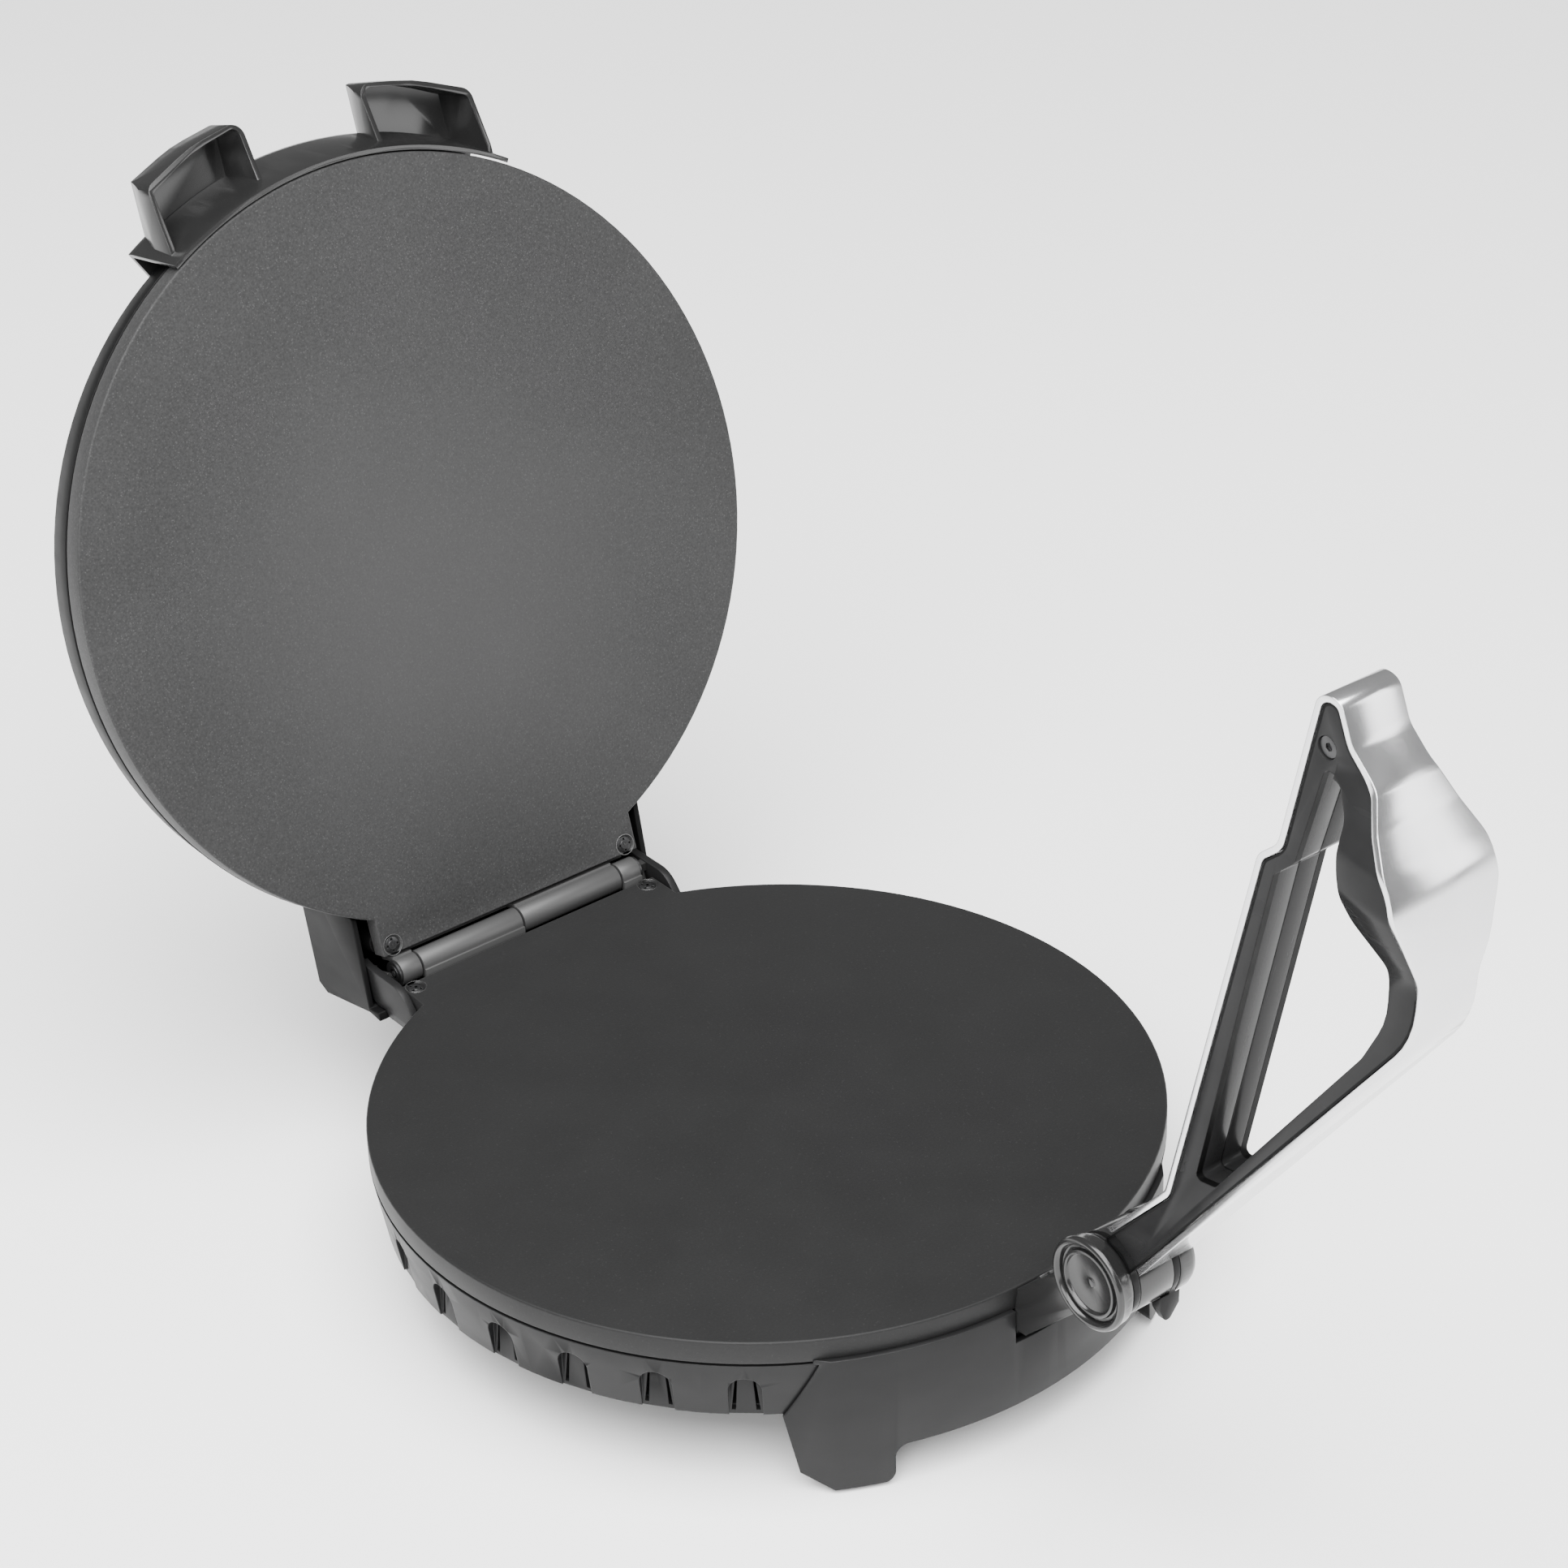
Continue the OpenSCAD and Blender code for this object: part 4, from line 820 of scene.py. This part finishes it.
@dataclass
class ScrewHead:
    """A cross-recessed screw head, turned and then cut. Its sizes are in millimetres."""

    name: str
    radius: float
    height: float
    flat: bool = False
    blade: float = 0.85
    blade_span: float = 1.5
    depth: float = 1.1
    sink: float = 0.25
    shoulder: float = 0.4
    sharp_angle: float = 40.0

    def build(self) -> bpy.types.Object:
        """Turns the head and cuts its cross.

        Returns:
            The head, its top at the origin and facing up.
        """
        r, h = self.radius, self.height
        if self.flat:
            profile = [(0, -self.sink), (r * 0.84, -self.sink), (r * 0.9, -self.shoulder),
                       (r * 0.5, -h), (0, -h)]
        else:
            profile = [(0, 0), (r * 0.6, -0.05 * h), (r * 0.88, -0.3 * h), (r, -0.62 * h),
                       (r, -h), (0, -h)]
        head = to_object(lathe(profile), self.name)
        cutter = bmesh.new()
        for turn in (0.0, math.pi / 2):
            size = Matrix.Diagonal(
                (self.blade_span * r * MM, self.blade * MM, 2 * self.depth * MM, 1))
            bmesh.ops.create_cube(cutter, size=1, matrix=Matrix.Rotation(turn, 4, "Z") @ size)
        carve(head, to_object(cutter, f"{self.name}_blade"))
        smooth(head, self.sharp_angle)
        return head


class ScrewRow:
    """Places one screw at many points with a Geometry Nodes tree."""

    shank_sides = 20

    def __init__(self) -> None:
        """Builds the tree: head and shank on each point, made real, with a material."""
        tree = bpy.data.node_groups.new("screw_row", "GeometryNodeTree")
        face = tree.interface
        face.new_socket("Points", in_out="INPUT", socket_type="NodeSocketGeometry")
        for label, kind in (("Head", "Object"), ("Turn", "Rotation"), ("Shank Radius", "Float"),
                            ("Shank Length", "Float"), ("Finish", "Material")):
            face.new_socket(label, in_out="INPUT", socket_type=f"NodeSocket{kind}")
        face.new_socket("Screws", in_out="OUTPUT", socket_type="NodeSocketGeometry")
        self.keys = {s.name: s.identifier for s in face.items_tree if s.in_out == "INPUT"}
        make, link = tree.nodes.new, tree.links.new
        given, out = make("NodeGroupInput"), make("NodeGroupOutput")
        head, shank = make("GeometryNodeObjectInfo"), make("GeometryNodeMeshCylinder")
        both, move = make("GeometryNodeJoinGeometry"), make("GeometryNodeTransform")
        half, drop = make("ShaderNodeMath"), make("ShaderNodeCombineXYZ")
        spots, place = make("GeometryNodeMeshToPoints"), make("GeometryNodeInstanceOnPoints")
        real, paint = make("GeometryNodeRealizeInstances"), make("GeometryNodeSetMaterial")
        half.operation = "MULTIPLY"
        half.inputs[1].default_value = -0.5
        shank.inputs["Vertices"].default_value = self.shank_sides
        link(given.outputs["Head"], head.inputs["Object"])
        link(given.outputs["Shank Radius"], shank.inputs["Radius"])
        link(given.outputs["Shank Length"], shank.inputs["Depth"])
        link(given.outputs["Shank Length"], half.inputs[0])
        link(half.outputs[0], drop.inputs["Z"])
        link(shank.outputs["Mesh"], move.inputs["Geometry"])
        link(drop.outputs[0], move.inputs["Translation"])
        link(move.outputs[0], both.inputs[0])
        link(head.outputs["Geometry"], both.inputs[0])
        link(given.outputs["Points"], spots.inputs["Mesh"])
        link(spots.outputs[0], place.inputs["Points"])
        link(both.outputs[0], place.inputs["Instance"])
        link(given.outputs["Turn"], place.inputs["Rotation"])
        link(place.outputs[0], real.inputs[0])
        link(real.outputs[0], paint.inputs["Geometry"])
        link(given.outputs["Finish"], paint.inputs["Material"])
        link(paint.outputs[0], out.inputs[0])
        self.tree = tree

    def place(self, name: str, head: bpy.types.Object, points: Sequence[Vector], turn: Euler,
              shank: Pair, finish: Finish) -> bpy.types.Object:
        """Puts a screw at each point.

        Args:
            name: the new piece's name.
            head: the head object.
            points: where the heads' tops are, in metres.
            turn: how the screws are turned from pointing up.
            shank: its radius and its length from the head's top, in metres.
            finish: what the screws are made of.

        Returns:
            One plain mesh that holds all the screws.
        """
        bm = bmesh.new()
        for point in points:
            bm.verts.new(point)
        piece = to_object(bm, name)
        row = piece.modifiers.new("screws", "NODES")
        row.node_group = self.tree
        row[self.keys["Head"]] = head
        row[self.keys["Turn"]] = turn
        row[self.keys["Shank Radius"]] = shank[0]
        row[self.keys["Shank Length"]] = shank[1]
        row[self.keys["Finish"]] = finish.material()
        baked(piece)
        return piece


# ---------------------------------------------------------------- sub-assemblies


@dataclass
class SubAssembly:
    """Pieces that belong together and ride on their CAD bodies."""

    frame: dict[str, Any]
    screws: ScrewRow

    def finish_node(self, node: str, body: Body, finish: Finish, width: float = 0.0,
                    cutter: Optional[bpy.types.Object] = None) -> None:
        """Finishes one CAD node.

        Args:
            node: the CAD node.
            body: the body it belongs to.
            finish: what it is made of.
            width: how wide its corners are rounded, or 0 to leave the CAD mesh.
            cutter: what is cut out of a rounded copy.
        """
        if width:
            settle(soften(self.frame, node, width, cutter=cutter), body, finish, [node])
        else:
            dress(self.frame["nodes"][node], finish)
            LOG.info("dressed %s", node)


@dataclass
class LowerPress(SubAssembly):
    """The lower plate, its ring, saddles, cover and what heats it.

    Sizes from head_top_cover on are in millimetres and angles in degrees.
    """

    corner: float = 0.5 * MM
    head_top_cover: float = -34.9
    head_top_saddle: float = -49.8
    cover_angles: tuple[float, ...] = (15, 165, 195, 345)
    saddle_angles: tuple[float, ...] = (72.6, 107.4, 252.6, 287.4)
    screw_ring: float = 134.0
    shank_r: float = 1.9
    cover_shank: float = 17.7
    saddle_shank: float = 29.7
    scoops: int = 7
    scoop_start: float = 41.8
    scoop_pitch: float = 12.3
    slit_out: Pair = (4.4, 3.2)
    slit_width: float = 1.5
    slit_narrowing: float = 0.5
    slit_z: Pair = (-33.0, -19.5)
    wall_r: Pair = (141.0, 152.0)

    def vent_slits(self) -> bpy.types.Object:
        """The cutter for the two slits at the sides of every scoop.

        Returns:
            The cutter, for the ring's wall.
        """
        bm = bmesh.new()
        for i in range(self.scoops):
            step = i * self.scoop_pitch
            for turn in (270 + self.scoop_start + step, 270 - self.scoop_start - step):
                for m in (-1, 1):
                    self.slit(bm, math.radians(turn), m)
        return to_object(bm, "vent_cutter")

    def slit(self, bm: bmesh.types.BMesh, turn: float, m: int) -> None:
        """Adds one tapered slit to the cutter.

        Args:
            bm: the cutter's mesh.
            turn: the scoop's angle round the ring, in radians.
            m: which side of the scoop.
        """
        half = self.slit_width / 2
        top_half = half * self.slit_narrowing
        foot, top = (m * out for out in self.slit_out)
        low, high = self.slit_z
        flat = ((foot - half, low), (foot + half, low),
                (top + top_half, high), (top - top_half, high))
        place = Matrix.Rotation(turn, 4, "Z")
        ends = [[bm.verts.new(place @ (Vector((r, y, z)) * MM)) for y, z in flat]
                for r in self.wall_r]
        bm.faces.new(ends[0][::-1])
        bm.faces.new(ends[1])
        for k in range(4):
            bm.faces.new((ends[0][k], ends[0][(k + 1) % 4], ends[1][(k + 1) % 4], ends[1][k]))

    def build(self) -> None:
        """Finishes the base's own nodes."""
        self.finish_node("lower_plate", Body.BASE, Shop.lower_coat, self.corner)
        self.finish_node("base_housing", Body.BASE, Shop.housing, self.corner, self.vent_slits())
        for node in ("front_saddle", "rear_saddle", "bottom_cover"):
            self.finish_node(node, Body.BASE, Shop.housing, self.corner)
        self.finish_node("rubber_feet", Body.BASE, Shop.rubber, 0.4 * MM)
        self.finish_node("cord_gland", Body.BASE, Shop.rubber, 0.3 * MM)
        for node in ("lower_heater", "lower_heater_clamps", "lower_shield"):
            self.finish_node(node, Body.BASE, Shop.steel)
        for node in ("lower_thermostat", "thermal_fuse", "terminal_block"):
            self.finish_node(node, Body.BASE, Shop.ceramic)
        self.finish_node("base_wiring", Body.BASE, Shop.lead)
        self.fit_screws()

    def fit_screws(self) -> None:
        """Sets the screws under the base."""
        head = ScrewHead("pan_head", 3.7, 1.7).build()
        over = Euler((math.pi, 0, 0))
        rows = (("cover", self.cover_angles, self.head_top_cover, self.cover_shank),
                ("saddle", self.saddle_angles, self.head_top_saddle, self.saddle_shank))
        for label, angles, top, length in rows:
            spots = []
            for turn in (math.radians(angle) for angle in angles):
                flat = Vector((math.cos(turn), math.sin(turn), 0)) * self.screw_ring * MM
                spots.append(flat + Vector((0, 0, top * MM)))
            shank = (self.shank_r * MM, length * MM)
            piece = self.screws.place(
                f"{label}_screw_row", head, spots, over, shank, Shop.dark_screw)
            settle(piece, Body.BASE, Shop.dark_screw, [f"{label}_screws"])
        bpy.data.objects.remove(head)


@dataclass
class HingeSet(SubAssembly):
    """Leaves, hollow pin, clips and the screws through the plates' tongues.

    The axis, the screws' places and the rims are in millimetres, and opened is in degrees.
    """

    axis: Triple = (0.0, 160.0, 1.5)
    opened: float = 106.5
    roti_gap: float = 1.0
    screw_x: float = 57.0
    screw_y: float = 148.6
    head_z: float = -0.1
    cross_turn: float = 0.5
    shank: Pair = (1.9 * MM, 17.6 * MM)
    rim_shank: Pair = (0.6 * MM, 1.5 * MM)
    rim_r: Pair = (4.05, 4.4)
    rim_z: Pair = (-0.05, 0.14)
    leaf_corner: float = 0.25 * MM

    def build(self) -> None:
        """Finishes the leaves, pin and clips, and sets the tongue screws and their rims."""
        self.finish_node("base_hinge_leaf", Body.BASE, Shop.hinge_paint, self.leaf_corner)
        self.finish_node("lid_hinge_leaf", Body.LID, Shop.hinge_paint, self.leaf_corner)
        self.finish_node("hinge_pin", Body.BASE, Shop.dark_screw)
        self.finish_node("hinge_clips", Body.BASE, Shop.dark_screw)
        closed = Euler((math.pi, 0, 0)).to_matrix()
        lid_turn = (Matrix.Rotation(math.radians(-self.opened), 3, "X") @ closed).to_euler()
        in_base = [Vector((m * self.screw_x, self.screw_y, self.head_z)) for m in (-1, 1)]
        in_lid = [self.swung(Vector((point.x, point.y, self.roti_gap - point.z)))
                  for point in in_base]
        seats = (("base", Body.BASE, [p * MM for p in in_base], Euler((0, 0, self.cross_turn))),
                 ("lid", Body.LID, [p * MM for p in in_lid], lid_turn))
        head = ScrewHead("sunk_head", 3.7, 2.1, flat=True).build()
        for label, body, spots, turn in seats:
            piece = self.screws.place(
                f"{label}_tongue_screw_pair", head, spots, turn, self.shank, Shop.dark_screw)
            settle(piece, body, Shop.dark_screw, [f"{label}_tongue_screws"])
        bpy.data.objects.remove(head)
        rim = self.worn_rim()
        for label, body, spots, turn in seats:
            piece = self.screws.place(
                f"{label}_screw_rims", rim, spots, turn, self.rim_shank, Shop.bare_rim)
            settle(piece, body, Shop.bare_rim)
        bpy.data.objects.remove(rim)

    def worn_rim(self) -> bpy.types.Object:
        """The bare bright edge of a countersunk hole.

        Returns:
            A thin ring with its top just proud of the plate.
        """
        (inner, outer), (low, high) = self.rim_r, self.rim_z
        section = ((inner, low), (inner, high), (outer, high), (outer, low))
        return to_object(lathe(section, steps=40, closed=True), "worn_rim")

    def swung(self, point: Vector) -> Vector:
        """Moves a point of the closed lid to where the open lid holds it.

        Args:
            point: the point in millimetres.

        Returns:
            The moved point in millimetres.
        """
        axis = Vector(self.axis)
        return axis + Matrix.Rotation(math.radians(-self.opened), 3, "X") @ (point - axis)


@dataclass
class OpenLid(SubAssembly):
    """The upper plate, the lid's shell and its finger grip."""

    def build(self) -> None:
        """Finishes the lid's nodes."""
        self.finish_node("upper_plate", Body.LID, Shop.upper_coat, 0.5 * MM)
        self.finish_node("lid_housing", Body.LID, Shop.lid_shell, 0.7 * MM)
        self.finish_node("lid_grip", Body.LID, Shop.gloss_black, 0.4 * MM)
        for node in ("upper_heater", "upper_heater_clamps", "upper_shield"):
            self.finish_node(node, Body.LID, Shop.steel)
        self.finish_node("upper_thermostat", Body.LID, Shop.ceramic)
        self.finish_node("lid_wiring", Body.LID, Shop.lead)
        self.finish_node("grip_screws", Body.LID, Shop.dark_screw)


@dataclass
class PressLever(SubAssembly):
    """The looped lever, its caps and the neck that carries it."""

    line_proud: float = 0.03 * MM
    line_deep: float = 0.2 * MM
    gap_out: Pair = (0.05 * MM, 0.75 * MM)
    recess_deep: float = 2.8 * MM
    recess_out: Pair = (-0.06 * MM, 0.05 * MM)
    seam_half: float = 0.2 * MM
    slice_at: float = 5 * MM
    inlay_x: float = 11.4 * MM

    def build(self) -> None:
        """Finishes the lever's and the neck's nodes."""
        self.finish_node("lever_shell", Body.LEVER, Shop.silver, 0.45 * MM)
        for side in ("left", "right"):
            self.finish_node(f"lever_frame_{side}", Body.LEVER, Shop.inlay, 0.4 * MM)
            self.finish_node(f"pivot_cap_{side}", Body.LEVER, Shop.gloss_black, 0.25 * MM)
            self.edge_lines(f"lever_frame_{side}", -1 if side == "left" else 1)
        self.finish_node("lever_screw", Body.LEVER, Shop.dark_screw)
        self.finish_node("pivot_bushes", Body.LEVER, Shop.ceramic)
        self.finish_node("lever_neck", Body.BASE, Shop.gloss_black, 0.4 * MM)
        self.finish_node("neck_screws", Body.BASE, Shop.dark_screw)
        self.finish_node("pivot_pin", Body.BASE, Shop.steel)
        self.finish_node("limit_pin", Body.BASE, Shop.steel)

    def edge_lines(self, node: str, side: int) -> None:
        """Adds an inlay half's near-black strips: painted shade beside the band and inside the
        window, and a dark seam line.

        Args:
            node: the CAD node of the half.
            side: -1 for the left half, 1 for the right one.
        """
        outer, window = slice_loops(self.frame, node, side * self.slice_at)[:2]
        outer, window = wall_inside(outer, side, False), wall_inside(window, side, True)
        face = side * self.inlay_x
        below = face - side * self.line_deep
        lines = [("gap", outer, (face + side * self.line_proud, below), self.gap_out),
                 ("recess", window, (below, face - side * self.recess_deep), self.recess_out)]
        if side < 0:
            lines.append(("seam", window, (-self.seam_half, self.seam_half), self.recess_out))
        for label, ring, x, out in lines:
            piece = beading(f"{node}_{label}", ring, side, x, out)
            settle(piece, Body.LEVER, Shop.shadow_gap)


# ---------------------------------------------------------------- studio


@dataclass(frozen=True)
class Panel:
    """A soft light: its place, aim and size in metres, and its watts."""

    name: str
    place: Triple
    aim: Triple
    size: Pair
    power: float

    def build(self) -> None:
        """Hangs the light."""
        lamp = bpy.data.lights.new(self.name, "AREA")
        lamp.shape = "RECTANGLE"
        lamp.size, lamp.size_y = self.size
        lamp.energy = self.power
        panel = bpy.data.objects.new(self.name, lamp)
        bpy.context.scene.collection.objects.link(panel)
        panel.location = self.place
        along = Vector(self.aim) - Vector(self.place)
        panel.rotation_euler = along.to_track_quat("-Z", "Y").to_euler()


@dataclass
class Studio:
    """Pale floor, soft lights and the photograph's camera.

    The camera's aim is in millimetres along its own right, up and back.
    """

    panels: tuple[Panel, ...] = (
        Panel("top_panel", (-0.7, -0.6, 2.6), (0, 0.1, 0), (3.2, 3.2), 380.0),
        Panel("key_panel", (-1.9, -1.7, 1.2), (0, 0.1, 0.1), (1.5, 1.3), 50.0),
        Panel("fill_panel", (1.6, -1.9, 0.9), (0, 0, 0.05), (1.0, 1.4), 20.0))
    world_strength: float = 0.25
    floor_z: float = -0.067
    floor_drop: float = 0.0002
    floor_half: float = 12.0
    floor_tones: Pair = (0.95, 0.97)
    floor_patch: float = 0.6
    floor_roughness: float = 0.9
    azimuth: float = -37.872
    elevation: float = 30.587
    roll: float = -1.89
    focal_px: float = 5300.0
    frame_px: float = 1932.0
    sensor: float = 36.0
    far_clip: float = 30.0
    aim: Triple = (6.625, 116.716, 1614.0)

    def build(self) -> None:
        """Sets the floor, the world, the lights and the camera."""
        self.floor()
        self.world()
        for panel in self.panels:
            panel.build()
        self.camera()

    def floor(self) -> None:
        """A wide plane under the feet."""
        bm = bmesh.new()
        under = Matrix.Translation((0, 0, self.floor_z - self.floor_drop))
        bmesh.ops.create_grid(bm, x_segments=1, y_segments=1, size=self.floor_half, matrix=under)
        floor = to_object(bm, "studio_floor")
        graph = Graph("studio_paper")
        tone = graph.span(graph.noise(self.floor_patch, 2.0), 0.3, 0.7)
        colour = graph.mix(tone, *((value,) * 3 for value in self.floor_tones))
        graph.join(colour, graph.shader.inputs["Base Color"])
        graph.shader.inputs["Roughness"].default_value = self.floor_roughness
        floor.data.materials.append(graph.material)

    def world(self) -> None:
        """Even white surroundings."""
        world = bpy.data.worlds.new("studio")
        bpy.context.scene.world = world
        world.use_nodes = True
        back = world.node_tree.nodes["Background"]
        back.inputs["Color"].default_value = (1, 1, 1, 1)
        back.inputs["Strength"].default_value = self.world_strength

    def camera(self) -> None:
        """The camera at the photograph's angle."""
        az, el, roll = (math.radians(v) for v in (self.azimuth, self.elevation, self.roll))
        back = Vector((math.sin(az) * math.cos(el), -math.cos(az) * math.cos(el), math.sin(el)))
        right = Vector((math.cos(az), math.sin(az), 0))
        up = back.cross(right)
        right, up = (right * math.cos(roll) + up * math.sin(roll),
                     up * math.cos(roll) - right * math.sin(roll))
        lens = bpy.data.cameras.new("photo_camera")
        lens.sensor_width = self.sensor
        lens.lens = self.focal_px / self.frame_px * lens.sensor_width
        lens.clip_end = self.far_clip
        camera = bpy.data.objects.new("photo_camera", lens)
        bpy.context.scene.collection.objects.link(camera)
        x, y, z = (v * MM for v in self.aim)
        turn = Matrix((right, up, back)).transposed().to_4x4()
        camera.matrix_world = Matrix.Translation(right * x + up * y + back * z) @ turn
        bpy.context.scene.camera = camera


def main() -> None:
    """Builds the studio and the machine in order."""
    logging.basicConfig(level=logging.INFO, format="%(name)s: %(message)s")
    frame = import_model()
    Studio().build()
    screws = ScrewRow()
    for part in (LowerPress, HingeSet, OpenLid, PressLever):
        part(frame, screws).build()
    LOG.info("sizes written")


if __name__ == "__main__":
    main()
